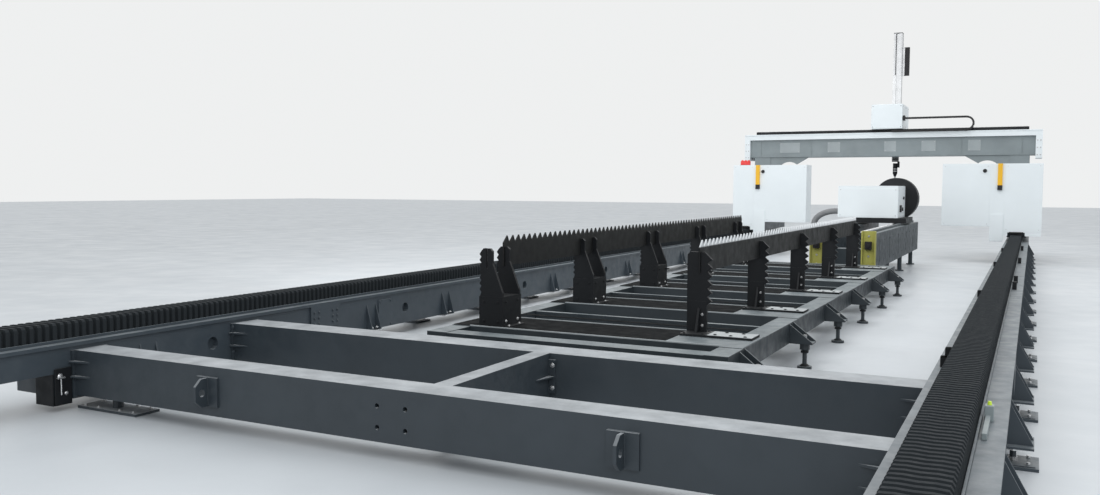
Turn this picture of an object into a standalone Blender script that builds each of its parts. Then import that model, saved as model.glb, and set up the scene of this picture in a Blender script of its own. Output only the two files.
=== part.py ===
import bpy
import bmesh
from math import cos, pi, sin
from mathutils import Matrix, Vector

for old in list(bpy.data.objects):
    bpy.data.objects.remove(old, do_unlink=True)

# Gaps and overruns, in metres
GAP = 0.0003
OVERRUN = 0.02
WELD = 0.004
ROUND_SIDES = 8

# Ground rails
RAIL_LENGTH = 25.6
RAIL_GAUGE = 6.1
RAIL_WIDTH = 0.45
RAIL_BOTTOM = 0.13
RAIL_TOP = 0.5
RAIL_NOSE_LENGTH = 1.46
RAIL_NOSE_BOTTOM = 0.3
NOSE_BLOCK_LENGTH = 0.14
NOSE_BLOCK_WIDTH = 0.2
NOSE_BLOCK_BOTTOM = 0.055
FLANGE_THICKNESS = 0.025
FLANGE_LIP = 0.02
GUSSET_REACH = 0.15
GUSSET_HEIGHT = 0.3
GUSSET_THICKNESS = 0.016
GUSSET_SPACE = 0.16
RAIL_FOOT_COUNT = 16
LEFT_FOOT_PITCH = 1.52
RIGHT_FOOT_PITCH = 1.41
LEFT_FOOT_START = 0.87
RIGHT_FOOT_START = 0.58
FOOT_PLATE_SIDE = 0.3
FOOT_PLATE_THICKNESS = 0.02
FOOT_STEM_RADIUS = 0.022
FOOT_NUT_RADIUS = 0.04
FOOT_NUT_HEIGHT = 0.03
SPLICE_START = 4.575
SPLICE_PITCH = 6.4
SPLICE_LENGTH = 0.46
SPLICE_HEIGHT = 0.24
SPLICE_THICKNESS = 0.02
WEB_HOLE_START = 3.04
WEB_HOLE_PITCH = 2.98
WEB_HOLE_RADIUS = 0.06
WEB_HOLE_DEPTH = 0.05
WEB_HOLE_Z = 0.31

# Guide rails and their folded covers
GUIDE_WIDTH = 0.06
GUIDE_HEIGHT = 0.055
GUIDE_BED_WIDTH = 0.14
GUIDE_BED_HEIGHT = 0.02
GUIDE_WAIST_SHARE = 0.7
BELLOWS_WIDTH = 0.25
BELLOWS_INSET = 0.08
BELLOWS_TOP = 0.68
BELLOWS_SKIN = 0.012
BELLOWS_FOLD_DEPTH = 0.014
BELLOWS_FOLDS = 46
BELLOWS_FRONT_MARGIN = 0.12

# Beams that tie the rails
FRONT_BEAM_Y = -11.17
FRONT_BEAM_WIDTH = 0.27
SECOND_BEAM_Y = -9.52
SECOND_BEAM_WIDTH = 0.3
TIE_BEAM_BOTTOM = 0.11
TIE_BEAM_TOP = 0.465
BEAM_END_PLATE_THICKNESS = 0.02
BEAM_END_PLATE_RIM = 0.025
BEAM_RIB_LENGTH = 0.2
BEAM_RIB_THICKNESS = 0.014
BEAM_RIB_DEPTH = 0.05
BEAM_RIB_SHARES = (0.42, 0.75)
BEAM_HOLE_RADIUS = 0.018
BEAM_HOLE_X = 0.11
BEAM_HOLE_LOW_Z = 0.205
BEAM_HOLE_HIGH_Z = 0.345
BEAM_FOOT_INSET = 0.33
BEAM_FOOT_LENGTH = 0.66
BEAM_FOOT_WIDTH = 0.22

# Lifting lugs on the front beam
LUG_X = 1.6
LUG_Z = 0.285
LUG_BASE_WIDTH = 0.2
LUG_BASE_HEIGHT = 0.21
LUG_BASE_THICKNESS = 0.016
LUG_EAR_REACH = 0.11
LUG_EAR_THICKNESS = 0.022
LUG_HOLE_RADIUS = 0.028

# Short link between the two beams
LINK_X = 0.22
LINK_WIDTH = 0.14
LINK_PLATE_WIDTH = 0.26
LINK_PLATE_HEIGHT = 0.26
LINK_PLATE_THICKNESS = 0.02

# Support bed
BED_LEFT = -1.28
BED_RIGHT = 1.53
BED_FRONT = -8.9
BED_REAR = 0.95
BED_TOP = 0.446
BED_BEAM_HEIGHT = 0.2
BED_BEAM_WIDTH = 0.2
BED_CHANNEL_WIDTH = 0.7
BED_CHANNEL_DEPTH = 0.12
BED_TIE_WIDTH = 0.06
BED_TIE_SHARE = 0.47
BED_FOOT_REACH = 0.22
BED_FOOT_STEM_SHARE = 0.6
BED_FOOT_PITCH = 1.76
BED_FOOT_START = 0.4
BED_NUT_RADIUS = 0.05
BED_NUT_HEIGHT = 0.06
BED_PAD_RADIUS = 0.07
BED_PAD_THICKNESS = 0.025

# Toothed supports
STATION_COUNT = 5
STATION_PITCH = 2.03
LEFT_STATION_Y = -8.27
RIGHT_STATION_Y = -7.87
LEFT_SUPPORT_X = -0.92
RIGHT_SUPPORT_X = 0.96
SUPPORT_TOP = 1.18
SUPPORT_PLATE = 0.03
SUPPORT_BASE_THICKNESS = 0.02
SUPPORT_CROWN = 0.025
RIGHT_SUPPORT_WIDTH = 0.23
RIGHT_BASE_LENGTH = 0.65
RIGHT_BASE_WIDTH = 0.26
RIGHT_BASE_SHIFT = 0.08
RIGHT_RIB_HEIGHT = 0.21
RIGHT_RIB_REACH = 0.1
RIGHT_TEETH = 6
RIGHT_TOOTH_DEPTH = 0.045
RIGHT_TEETH_START = 0.24
LEFT_SUPPORT_WIDTH = 0.12
LEFT_PAIR_SPACE = 0.32
LEFT_BOX_WIDTH = 0.25
LEFT_BOX_LENGTH = 0.36
LEFT_BOX_HEIGHT = 0.285
LEFT_SHOULDER_LOW = 0.04
LEFT_SHOULDER_RISE = 0.27
LEFT_TEETH = 7
LEFT_TOOTH_DEPTH = 0.02
TOOTH_PEAK_SHARE = 0.45
SLAT_DEPTH = 0.22
SLAT_THICKNESS = 0.014
SLAT_TOOTH_PITCH = 0.115
SLAT_TOOTH_HEIGHT = 0.07
SLAT_REST = 0.035
SLAT_END = 0.16
SLAT_SIDE_GAP = 0.002
SLAT_LEAN_SHARE = 0.35

# Chuck bed, headstock and chuck
CHUCK_BED_LEFT = 0.08
CHUCK_BED_RIGHT = 1.2
CHUCK_BED_FRONT = 1.12
CHUCK_BED_REAR = 7.7
CHUCK_BED_BOTTOM = 0.35
CHUCK_BED_TOP = 0.98
CHUCK_BED_WALL = 0.24
CHUCK_BED_TIE = 0.3
CHUCK_BED_TIE_COUNT = 3
CHUCK_GUIDE_HEIGHT = 0.04
CHUCK_GUIDE_WIDTH = 0.05
CHUCK_POST_THICKNESS = 0.06
CHUCK_FOOT_RADIUS = 0.045
CHUCK_PAD_RADIUS = 0.09
CHUCK_FOOT_COUNT = 4
CHUCK_X = 0.83
CHUCK_Z = 1.53
CHUCK_RADIUS = 0.47
CHUCK_LENGTH = 0.34
CHUCK_BORE_RADIUS = 0.19
CHUCK_RIM_WIDTH = 0.03
CHUCK_FACE_STEP = 0.05
CHUCK_RUNNING_GAP = 0.006
JAW_WIDTH = 0.09
JAW_LENGTH = 0.16
JAW_HEIGHT = 0.1
JAW_STROKE = 0.05
JAW_COUNT = 4
HEADSTOCK_LEFT = -0.21
HEADSTOCK_RIGHT = 1.03
HEADSTOCK_FRONT = 5.3
HEADSTOCK_LENGTH = 1.24
HEADSTOCK_HEIGHT = 0.68
SADDLE_THICKNESS = 0.11
HOSE_RADIUS = 0.06
HOSE_RINGS = 14
HOSE_RIDGE = 0.01
HOSE_BULGE = 0.62
HOSE_SEAT_SHARE = 0.35

# Gantry
GANTRY_FRONT = 9.3
TRUCK_LENGTH = 3.2
TRUCK_WIDTH = 0.42
TRUCK_TOP = 1.0
GUARD_POST_DEPTH = 0.14
GUARD_ARM_HEIGHT = 0.1
GUARD_ARM_REACH = 0.3
GANTRY_BEAM_Y = 10.6
GANTRY_BEAM_DEPTH = 0.7
GANTRY_BEAM_BOTTOM = 2.62
GANTRY_BEAM_TOP = 3.1
GANTRY_HALF_SPAN = 3.6
TOP_PLATE_THICKNESS = 0.15
TOP_PLATE_LIP = 0.08
END_PLATE_THICKNESS = 0.15
END_PLATE_DROP = 0.56
STRIP_HEIGHT = 0.08
STRIP_INSET = 0.16
LEG_WIDTH = 0.44
KNEE_LENGTH = 1.05
KNEE_DROP = 0.3
KNEE_CUT_RADIUS = 0.34
COVER_TOP = 2.36
COVER_BOTTOM = 0.873
COVER_RAIL_BOTTOM = 0.66
COVER_INNER_X = 1.62
COVER_STEP_X = 2.98
LEFT_COVER_OUTER_X = 3.54
RIGHT_COVER_OUTER_X = 3.78
COVER_LENGTH = 0.6
COVER_WALL = 0.03
COVER_SLOT_SIDE = 0.06
COVER_SLOT_RISE = 0.06
APRON_WIDTH = 0.3
APRON_BOTTOM = 0.52
APRON_THICKNESS = 0.012
CURTAIN_WIDTH = 0.1
CURTAIN_DEPTH = 0.05
CURTAIN_HEIGHT = 0.62
BEACON_WIDTH = 0.24
BEACON_HEIGHT = 0.11

# Carriage, ram and cutting head
CARRIAGE_X = 0.07
CARRIAGE_WIDTH = 0.78
CARRIAGE_BOTTOM = 3.34
CARRIAGE_TOP = 3.98
CARRIAGE_FRONT_OVERHANG = 0.1
RAM_X = 0.17
RAM_WIDTH = 0.22
RAM_DEPTH = 0.2
RAM_BOTTOM = 2.7
RAM_TOP = 6.0
RAM_TRAVEL = 0.85
RAM_GROOVE = 0.03
RAM_SLEEVE_WALL = 0.06
RAM_BEAM_GAP = 0.12
HEAD_RADIUS = 0.09
HEAD_HEIGHT = 0.2
HEAD_ARM_LENGTH = 0.16
HEAD_ARM_THICKNESS = 0.05
NOZZLE_LENGTH = 0.34
NOZZLE_TIP_RADIUS = 0.012
NOZZLE_RADIUS = 0.06
TILT_SHARE = 0.65
RAM_CHAIN_WIDTH = 0.13
RAM_CHAIN_OFFSET = 0.06
RAM_CHAIN_PLATE = 0.012
RAM_CHAIN_DEPTH = 0.08
RAM_CHAIN_TOP = 5.6
RAM_CHAIN_LINKS = 22
CHAIN_LINK_STEP = 0.006
LINK_NOTCH_SHARE = 0.15
CROSS_CHAIN_RADIUS = 0.19
CROSS_CHAIN_THICKNESS = 0.05
CROSS_CHAIN_WIDTH = 0.1
CROSS_CHAIN_RIGHT = 2.2
CROSS_CHAIN_LEFT = 0.2
BEND_STEPS = 16

PARTS = bpy.data.collections.new("fiber_laser_cutting_machine")
TOOLS = bpy.data.collections.new("cutters")
bpy.context.scene.collection.children.link(PARTS)
bpy.context.scene.collection.children.link(TOOLS)

HALF_LENGTH = RAIL_LENGTH / 2
HALF_GAUGE = RAIL_GAUGE / 2


def material(name, colour, metallic, roughness):
    mat = bpy.data.materials.new(name)
    mat.use_nodes = True
    shader = mat.node_tree.nodes["Principled BSDF"]
    shader.inputs["Base Color"].default_value = (*colour, 1.0)
    shader.inputs["Metallic"].default_value = metallic
    shader.inputs["Roughness"].default_value = roughness
    return mat


FINISHES = {
    "dark": ((0.035, 0.037, 0.042), 0.2, 0.5),
    "grey": ((0.3, 0.34, 0.36), 0.1, 0.5),
    "pale": ((0.72, 0.75, 0.76), 0.0, 0.45),
    "steel": ((0.55, 0.56, 0.57), 0.9, 0.35),
    "black": ((0.02, 0.02, 0.022), 0.0, 0.6),
    "yellow": ((0.75, 0.48, 0.04), 0.0, 0.5),
    "red": ((0.65, 0.03, 0.03), 0.0, 0.4),
}


def solid(name, bm, finish):
    """Put a bmesh into the part's collection as one object with its own material."""
    bmesh.ops.recalc_face_normals(bm, faces=bm.faces)
    mesh = bpy.data.meshes.new(name)
    bm.to_mesh(mesh)
    bm.free()
    obj = bpy.data.objects.new(name, mesh)
    PARTS.objects.link(obj)
    obj.data.materials.append(material(name, *FINISHES[finish]))
    return obj


def block(bm, low, high):
    """Add a box between two corners."""
    low, high = Vector(low), Vector(high)
    size = high - low
    place = Matrix.Translation((low + high) / 2) @ Matrix.Diagonal((*size, 1))
    bmesh.ops.create_cube(bm, size=1, matrix=place)


def prism(bm, outline, axis, start, end):
    """Add an outline pushed along one axis; the outline runs in the two other axes."""
    place = {
        "x": lambda a, b, t: (t, a, b),
        "y": lambda a, b, t: (a, t, b),
        "z": lambda a, b, t: (a, b, t),
    }[axis]
    near = [bm.verts.new(place(a, b, start)) for a, b in outline]
    far = [bm.verts.new(place(a, b, end)) for a, b in outline]
    bm.faces.new(near)
    bm.faces.new(list(reversed(far)))
    for i in range(len(outline)):
        j = (i + 1) % len(outline)
        bm.faces.new((near[i], far[i], far[j], near[j]))


def rod(bm, centre, radius, start, end, axis="z", sides=8, tip=None):
    """Add a round bar or a taper along one axis."""
    turn = {
        "x": Matrix.Rotation(pi / 2, 4, "Y"),
        "y": Matrix.Rotation(-pi / 2, 4, "X"),
        "z": Matrix.Identity(4),
    }[axis]
    middle = (start + end) / 2
    spot = {
        "x": (middle, centre[0], centre[1]),
        "y": (centre[0], middle, centre[1]),
        "z": (centre[0], centre[1], middle),
    }[axis]
    made = bmesh.ops.create_cone(
        bm,
        cap_ends=True,
        segments=sides,
        radius1=radius,
        radius2=radius if tip is None else tip,
        depth=end - start,
        matrix=Matrix.Translation(spot) @ turn,
    )
    if sides >= ROUND_SIDES:
        for face in {face for vert in made["verts"] for face in vert.link_faces}:
            face.smooth = len(face.verts) < ROUND_SIDES


def pivot(obj, point):
    """Move an object's origin to a point on its joint's axis and leave its shape where it is."""
    obj.data.transform(Matrix.Translation(-Vector(point)))
    obj.location = point


def tool(name, bm):
    """Keep a bmesh as a Boolean operand that doesn't render."""
    bmesh.ops.recalc_face_normals(bm, faces=bm.faces)
    mesh = bpy.data.meshes.new(name)
    bm.to_mesh(mesh)
    bm.free()
    obj = bpy.data.objects.new(name, mesh)
    TOOLS.objects.link(obj)
    obj.hide_render = True
    obj.display_type = "WIRE"
    return obj


def boolean(obj, other, operation):
    mod = obj.modifiers.new(other.name, "BOOLEAN")
    mod.operation = operation
    mod.solver = "EXACT"
    mod.use_self = True
    mod.object = other


def weld(obj, bm):
    boolean(obj, tool(obj.name + "_added", bm), "UNION")


def cut(obj, bm):
    boolean(obj, tool(obj.name + "_cut", bm), "DIFFERENCE")


def fresh():
    return bmesh.new()


def sided(side, low_x, high_x):
    """Mirror a span of x to the left side when side is -1."""
    return (low_x, high_x) if side > 0 else (-high_x, -low_x)


def side_block(bm, side, x, y, z):
    a, b = sided(side, *x)
    block(bm, (a, y[0], z[0]), (b, y[1], z[1]))


# Ground rail: box beam, top flange, gussets, feet and splice plates
def floor_foot(bm, x, y, top, plate=FOOT_PLATE_SIDE):
    block(bm, (x - plate / 2, y - plate / 2, 0), (x + plate / 2, y + plate / 2, FOOT_PLATE_THICKNESS))
    rod(bm, (x, y), FOOT_STEM_RADIUS, FOOT_PLATE_THICKNESS - WELD, top + WELD, sides=6)


def beside_beam(y):
    """Whether a pair of inner gussets at y would stand in a crossbeam's end."""
    for front, width in ((FRONT_BEAM_Y, FRONT_BEAM_WIDTH), (SECOND_BEAM_Y, SECOND_BEAM_WIDTH)):
        reach = width / 2 + BEAM_RIB_DEPTH + GUSSET_SPACE / 2 + GUSSET_THICKNESS
        if abs(y - front - width / 2) < reach:
            return True
    return False


def rail_gusset(bm, face, reach, y):
    """Three-cornered plate from the rail's web out to reach."""
    base = RAIL_BOTTOM + WELD
    web = [(face, base), (reach, base), (reach, base + GUSSET_THICKNESS), (face, base + GUSSET_HEIGHT)]
    prism(bm, web, "y", y - GUSSET_THICKNESS / 2, y + GUSSET_THICKNESS / 2)


def ground_rail(side):
    name = "right_rail" if side > 0 else "left_rail"
    pitch = RIGHT_FOOT_PITCH if side > 0 else LEFT_FOOT_PITCH
    first = RIGHT_FOOT_START if side > 0 else LEFT_FOOT_START
    inner, outer = HALF_GAUGE, HALF_GAUGE + RAIL_WIDTH
    nose = -HALF_LENGTH + RAIL_NOSE_LENGTH
    bm = fresh()
    outline = [
        (-HALF_LENGTH, RAIL_NOSE_BOTTOM),
        (nose, RAIL_NOSE_BOTTOM),
        (nose, RAIL_BOTTOM),
        (HALF_LENGTH, RAIL_BOTTOM),
        (HALF_LENGTH, RAIL_TOP),
        (-HALF_LENGTH, RAIL_TOP),
    ]
    prism(bm, outline, "x", *sided(side, inner, outer))
    rail = solid(name, bm, "dark")

    add = fresh()
    side_block(
        add,
        side,
        (inner - FLANGE_LIP, outer + FLANGE_LIP),
        (-HALF_LENGTH, HALF_LENGTH),
        (RAIL_TOP - WELD, RAIL_TOP + FLANGE_THICKNESS),
    )
    side_block(
        add,
        side,
        (inner + WELD, inner + NOSE_BLOCK_WIDTH),
        (nose + WELD, nose + NOSE_BLOCK_LENGTH),
        (NOSE_BLOCK_BOTTOM, RAIL_BOTTOM + WELD),
    )
    foot_x = outer + GUSSET_REACH / 2
    for i in range(RAIL_FOOT_COUNT):
        y = nose + first + i * pitch
        if y > HALF_LENGTH - GUSSET_SPACE:
            break
        for step in (-1, 1):
            middle = y + step * GUSSET_SPACE / 2
            face = side * (outer - WELD)
            reach = side * (outer + GUSSET_REACH)
            rail_gusset(add, face, reach, middle)
            if not beside_beam(y):
                rail_gusset(add, side * (inner + WELD), side * (inner - GUSSET_REACH / 2), middle)
        side_block(
            add,
            side,
            (outer - 2 * WELD, outer + GUSSET_REACH + WELD),
            (y - GUSSET_SPACE, y + GUSSET_SPACE),
            (RAIL_BOTTOM + WELD / 2, RAIL_BOTTOM + GUSSET_THICKNESS),
        )
        floor_foot(add, side * (foot_x - FOOT_NUT_RADIUS), y, RAIL_BOTTOM + WELD)
    splice = -HALF_LENGTH + SPLICE_START
    while splice < HALF_LENGTH - SPLICE_LENGTH:
        for x in ((inner - SPLICE_THICKNESS, inner + WELD), (outer - WELD, outer + SPLICE_THICKNESS)):
            side_block(
                add,
                side,
                x,
                (splice - SPLICE_LENGTH / 2, splice + SPLICE_LENGTH / 2),
                (RAIL_TOP - SPLICE_HEIGHT, RAIL_TOP + WELD),
            )
        splice += SPLICE_PITCH
    weld(rail, add)

    holes = fresh()
    y = -HALF_LENGTH + WEB_HOLE_START
    while y < HALF_LENGTH - WEB_HOLE_RADIUS - OVERRUN:
        a, b = sided(side, inner - SPLICE_THICKNESS - OVERRUN, inner + WEB_HOLE_DEPTH)
        rod(holes, (y, WEB_HOLE_Z), WEB_HOLE_RADIUS, a, b, axis="x", sides=12)
        y += WEB_HOLE_PITCH
    cut(rail, holes)
    return rail


# Guide rail on its machined bed, with the folded cover over it
def guide(side):
    name = "right_guide" if side > 0 else "left_guide"
    centre = HALF_GAUGE + BELLOWS_INSET + BELLOWS_WIDTH / 2
    base = RAIL_TOP + FLANGE_THICKNESS + GAP
    bed_top = base + GUIDE_BED_HEIGHT
    top = bed_top + GUIDE_HEIGHT
    waist = GUIDE_WIDTH * GUIDE_WAIST_SHARE
    bm = fresh()
    half = [
        (GUIDE_BED_WIDTH / 2, base),
        (GUIDE_BED_WIDTH / 2, bed_top),
        (GUIDE_WIDTH / 2, bed_top),
        (waist / 2, (bed_top + top) / 2),
        (GUIDE_WIDTH / 2, top),
    ]
    outline = [(side * centre + x, z) for x, z in half]
    outline += [(side * centre - x, z) for x, z in reversed(half)]
    prism(bm, outline, "y", -HALF_LENGTH + BELLOWS_FRONT_MARGIN, HALF_LENGTH - BELLOWS_FRONT_MARGIN)
    return solid(name, bm, "steel")



def bellows(side):
    name = "right_bellows" if side > 0 else "left_bellows"
    centre = side * (HALF_GAUGE + BELLOWS_INSET + BELLOWS_WIDTH / 2)
    base = RAIL_TOP + FLANGE_THICKNESS + GAP
    start = -HALF_LENGTH + BELLOWS_FRONT_MARGIN
    end = GANTRY_FRONT - GAP
    rings = 2 * BELLOWS_FOLDS + 1
    bm = fresh()
    loops = []
    for i in range(rings):
        y = start + (end - start) * i / (rings - 1)
        inset = BELLOWS_FOLD_DEPTH if i % 2 else 0
        out = BELLOWS_WIDTH / 2 - inset
        top = BELLOWS_TOP - inset
        into = out - BELLOWS_SKIN
        under = top - BELLOWS_SKIN
        ring = [
            (-out, base), (-out, top), (out, top), (out, base),
            (into, base), (into, under), (-into, under), (-into, base),
        ]
        loops.append([bm.verts.new((centre + x, y, z)) for x, z in ring])
    count = len(loops[0])
    for near, far in zip(loops, loops[1:]):
        for k in range(count):
            m = (k + 1) % count
            bm.faces.new((near[k], far[k], far[m], near[m]))
    bm.faces.new(loops[0])
    bm.faces.new(list(reversed(loops[-1])))
    return solid(name, bm, "black")


# Beams across the machine, with end plates, ribs and floor pads
def cross_beam(name, front, width, with_feet):
    end = HALF_GAUGE - GAP
    bm = fresh()
    block(bm, (-end + WELD, front, TIE_BEAM_BOTTOM), (end - WELD, front + width, TIE_BEAM_TOP))
    beam = solid(name, bm, "dark")
    add = fresh()
    for side in (-1, 1):
        side_block(
            add,
            side,
            (end - BEAM_END_PLATE_THICKNESS, end),
            (front - BEAM_END_PLATE_RIM, front + width + BEAM_END_PLATE_RIM),
            (TIE_BEAM_BOTTOM - BEAM_END_PLATE_RIM, TIE_BEAM_TOP),
        )
        for share in BEAM_RIB_SHARES:
            z = TIE_BEAM_BOTTOM + share * (TIE_BEAM_TOP - TIE_BEAM_BOTTOM)
            tip = side * (end - BEAM_RIB_LENGTH)
            root = side * (end - WELD)
            web = [(root, front + WELD), (root, front - BEAM_RIB_DEPTH), (tip, front + WELD)]
            prism(add, web, "z", z - BEAM_RIB_THICKNESS / 2, z + BEAM_RIB_THICKNESS / 2)
        if with_feet:
            x = side * (end - BEAM_FOOT_INSET)
            y = front + width / 2
            floor = (BEAM_FOOT_LENGTH / 2, BEAM_FOOT_WIDTH / 2)
            block(add, (x - floor[0], y - floor[1], 0), (x + floor[0], y + floor[1], FOOT_PLATE_THICKNESS))
            rod(add, (x, y), FOOT_NUT_RADIUS, FOOT_PLATE_THICKNESS - WELD, TIE_BEAM_BOTTOM + WELD)
    weld(beam, add)
    if with_feet:
        holes = fresh()
        for x in (-BEAM_HOLE_X, BEAM_HOLE_X):
            for z in (BEAM_HOLE_LOW_Z, BEAM_HOLE_HIGH_Z):
                rod(holes, (x, z), BEAM_HOLE_RADIUS, front - OVERRUN, front + width / 2, axis="y")
        cut(beam, holes)
    return beam



def lifting_lug(name, x):
    face = FRONT_BEAM_Y - GAP
    low, high = LUG_Z - LUG_BASE_HEIGHT / 2, LUG_Z + LUG_BASE_HEIGHT / 2
    bm = fresh()
    block(
        bm,
        (x - LUG_BASE_WIDTH / 2, face - LUG_BASE_THICKNESS, low),
        (x + LUG_BASE_WIDTH / 2, face, high),
    )
    lug = solid(name, bm, "dark")
    ear = fresh()
    root = face - LUG_BASE_THICKNESS + WELD
    tip = face - LUG_BASE_THICKNESS - LUG_EAR_REACH
    rise = LUG_BASE_HEIGHT / 4
    web = [
        (root, low + WELD), (root, high - WELD), (tip + rise, high - WELD),
        (tip, high - rise), (tip, low + rise), (tip + rise, low + WELD),
    ]
    prism(ear, web, "x", x - LUG_EAR_THICKNESS / 2, x + LUG_EAR_THICKNESS / 2)
    weld(lug, ear)
    hole = fresh()
    rod(hole, ((root + tip) / 2, LUG_Z), LUG_HOLE_RADIUS, x - LUG_EAR_THICKNESS, x + LUG_EAR_THICKNESS, axis="x")
    cut(lug, hole)
    return lug


def link_beam():
    start = FRONT_BEAM_Y + FRONT_BEAM_WIDTH + GAP
    end = SECOND_BEAM_Y - GAP
    bm = fresh()
    half = LINK_WIDTH / 2
    block(bm, (LINK_X - half, start, TIE_BEAM_BOTTOM), (LINK_X + half, end, TIE_BEAM_TOP))
    link = solid("link_beam", bm, "dark")
    add = fresh()
    middle = (TIE_BEAM_TOP + TIE_BEAM_BOTTOM) / 2
    for y in ((start, start + LINK_PLATE_THICKNESS), (end - LINK_PLATE_THICKNESS, end)):
        block(
            add,
            (LINK_X - LINK_PLATE_WIDTH / 2, y[0], middle - LINK_PLATE_HEIGHT / 2),
            (LINK_X + LINK_PLATE_WIDTH / 2, y[1], middle + LINK_PLATE_HEIGHT / 2),
        )
    weld(link, add)
    return link


def station_y(index):
    """Middle of the cross channel that carries one left and one right support."""
    front = LEFT_STATION_Y - LEFT_BOX_LENGTH / 2
    back = RIGHT_STATION_Y - RIGHT_BASE_SHIFT + RIGHT_BASE_WIDTH / 2
    return (front + back) / 2 + index * STATION_PITCH


# Support bed: side beams, end beams, one pair of channels per station, gusseted feet
def support_bed():
    low = BED_TOP - BED_BEAM_HEIGHT
    bm = fresh()
    top = BED_TOP - WELD
    block(bm, (BED_RIGHT - BED_BEAM_WIDTH, BED_FRONT, low), (BED_RIGHT, BED_REAR, top))
    bed = solid("support_bed", bm, "dark")
    add = fresh()
    block(add, (BED_LEFT, BED_FRONT, low), (BED_LEFT + BED_BEAM_WIDTH, BED_REAR, top))
    for y in (BED_FRONT, BED_REAR - BED_BEAM_WIDTH):
        block(
            add,
            (BED_LEFT + WELD, y + WELD, low + WELD),
            (BED_RIGHT - WELD, y + BED_BEAM_WIDTH, top - WELD),
        )
    for i in range(STATION_COUNT):
        y = station_y(i)
        front, back = y - BED_CHANNEL_WIDTH / 2, y + BED_CHANNEL_WIDTH / 2
        block(
            add,
            (BED_LEFT + WELD, front, BED_TOP - BED_CHANNEL_DEPTH),
            (BED_RIGHT - WELD, back, BED_TOP),
        )
        tie = y + STATION_PITCH * BED_TIE_SHARE
        if tie < BED_REAR - BED_BEAM_WIDTH:
            block(
                add,
                (BED_LEFT + WELD, tie, BED_TOP - BED_CHANNEL_DEPTH),
                (BED_RIGHT - WELD, tie + BED_TIE_WIDTH, top - WELD),
            )
    foot_count = int((BED_REAR - BED_FRONT - BED_FOOT_START) / BED_FOOT_PITCH) + 1
    for i in range(foot_count):
        y = BED_FRONT + BED_FOOT_START + i * BED_FOOT_PITCH
        for edge, way in ((BED_LEFT, -1), (BED_RIGHT, 1)):
            for step in (-1, 1):
                middle = y + step * GUSSET_SPACE / 2
                web = [
                    (edge - way * WELD, low + WELD),
                    (edge + way * BED_FOOT_REACH, low + WELD),
                    (edge + way * BED_FOOT_REACH, low + GUSSET_THICKNESS + WELD),
                    (edge - way * WELD, top - WELD),
                ]
                prism(add, web, "y", middle - GUSSET_THICKNESS / 2, middle + GUSSET_THICKNESS / 2)
            shelf = sorted((edge - way * WELD, edge + way * BED_FOOT_REACH))
            block(
                add,
                (shelf[0], y - GUSSET_SPACE / 2, low),
                (shelf[1], y + GUSSET_SPACE / 2, low + GUSSET_THICKNESS),
            )
            x = edge + way * BED_FOOT_REACH * BED_FOOT_STEM_SHARE
            rod(add, (x, y), FOOT_STEM_RADIUS, BED_PAD_THICKNESS - WELD, low + WELD)
            rod(add, (x, y), BED_NUT_RADIUS, low - BED_NUT_HEIGHT, low + WELD / 2, sides=6)
            rod(add, (x, y), BED_PAD_RADIUS, 0, BED_PAD_THICKNESS, sides=12)
    weld(bed, add)
    return bed


# Upright plate with a sawtooth edge and a slot for the slat
def sawtooth(x, low, high, count, depth):
    """Points of a toothed edge that climbs from low to high at x, with teeth that stand out by depth."""
    step = (high - low) / count
    points = []
    for i in range(count):
        points.append((x, low + i * step))
        points.append((x + depth, low + (i + TOOTH_PEAK_SHARE) * step))
    return points + [(x, high)]


def right_support(index):
    x = RIGHT_SUPPORT_X
    y = RIGHT_STATION_Y + index * STATION_PITCH
    base = BED_TOP + GAP
    foot = base + SUPPORT_BASE_THICKNESS
    half = RIGHT_SUPPORT_WIDTH / 2
    edge = x + half - RIGHT_TOOTH_DEPTH
    outline = [(x - half, foot - WELD), (edge, foot - WELD)]
    low, high = foot + RIGHT_TEETH_START, SUPPORT_TOP - SUPPORT_CROWN
    outline += sawtooth(edge, low, high, RIGHT_TEETH, RIGHT_TOOTH_DEPTH)
    outline += [
        (edge - SUPPORT_CROWN, SUPPORT_TOP),
        (x - half + SUPPORT_CROWN, SUPPORT_TOP),
        (x - half, high),
    ]
    bm = fresh()
    prism(bm, outline, "y", y - SUPPORT_PLATE / 2, y + SUPPORT_PLATE / 2)
    plate = solid(f"right_support_{index + 1}", bm, "black")
    add = fresh()
    middle = y - RIGHT_BASE_SHIFT
    block(
        add,
        (x - half, middle - RIGHT_BASE_WIDTH / 2, base),
        (x - half + RIGHT_BASE_LENGTH, middle + RIGHT_BASE_WIDTH / 2, foot),
    )
    front = y - SUPPORT_PLATE / 2
    rib = [
        (front + WELD, foot - WELD),
        (front - RIGHT_RIB_REACH, foot - WELD),
        (front - SUPPORT_PLATE / 2, foot + RIGHT_RIB_HEIGHT),
        (front + WELD, foot + RIGHT_RIB_HEIGHT),
    ]
    prism(add, rib, "x", x - SUPPORT_BASE_THICKNESS / 2, x + SUPPORT_BASE_THICKNESS / 2)
    weld(plate, add)
    slot_for_slat(plate, x, y)
    return plate


def slot_for_slat(plate, x, y):
    slot = fresh()
    half = SLAT_THICKNESS / 2 + SLAT_SIDE_GAP
    block(
        slot,
        (x - half, y - LEFT_BOX_LENGTH, SUPPORT_TOP + SLAT_REST - SLAT_DEPTH - GAP),
        (x + half, y + LEFT_BOX_LENGTH, SUPPORT_TOP + OVERRUN),
    )
    cut(plate, slot)


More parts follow.
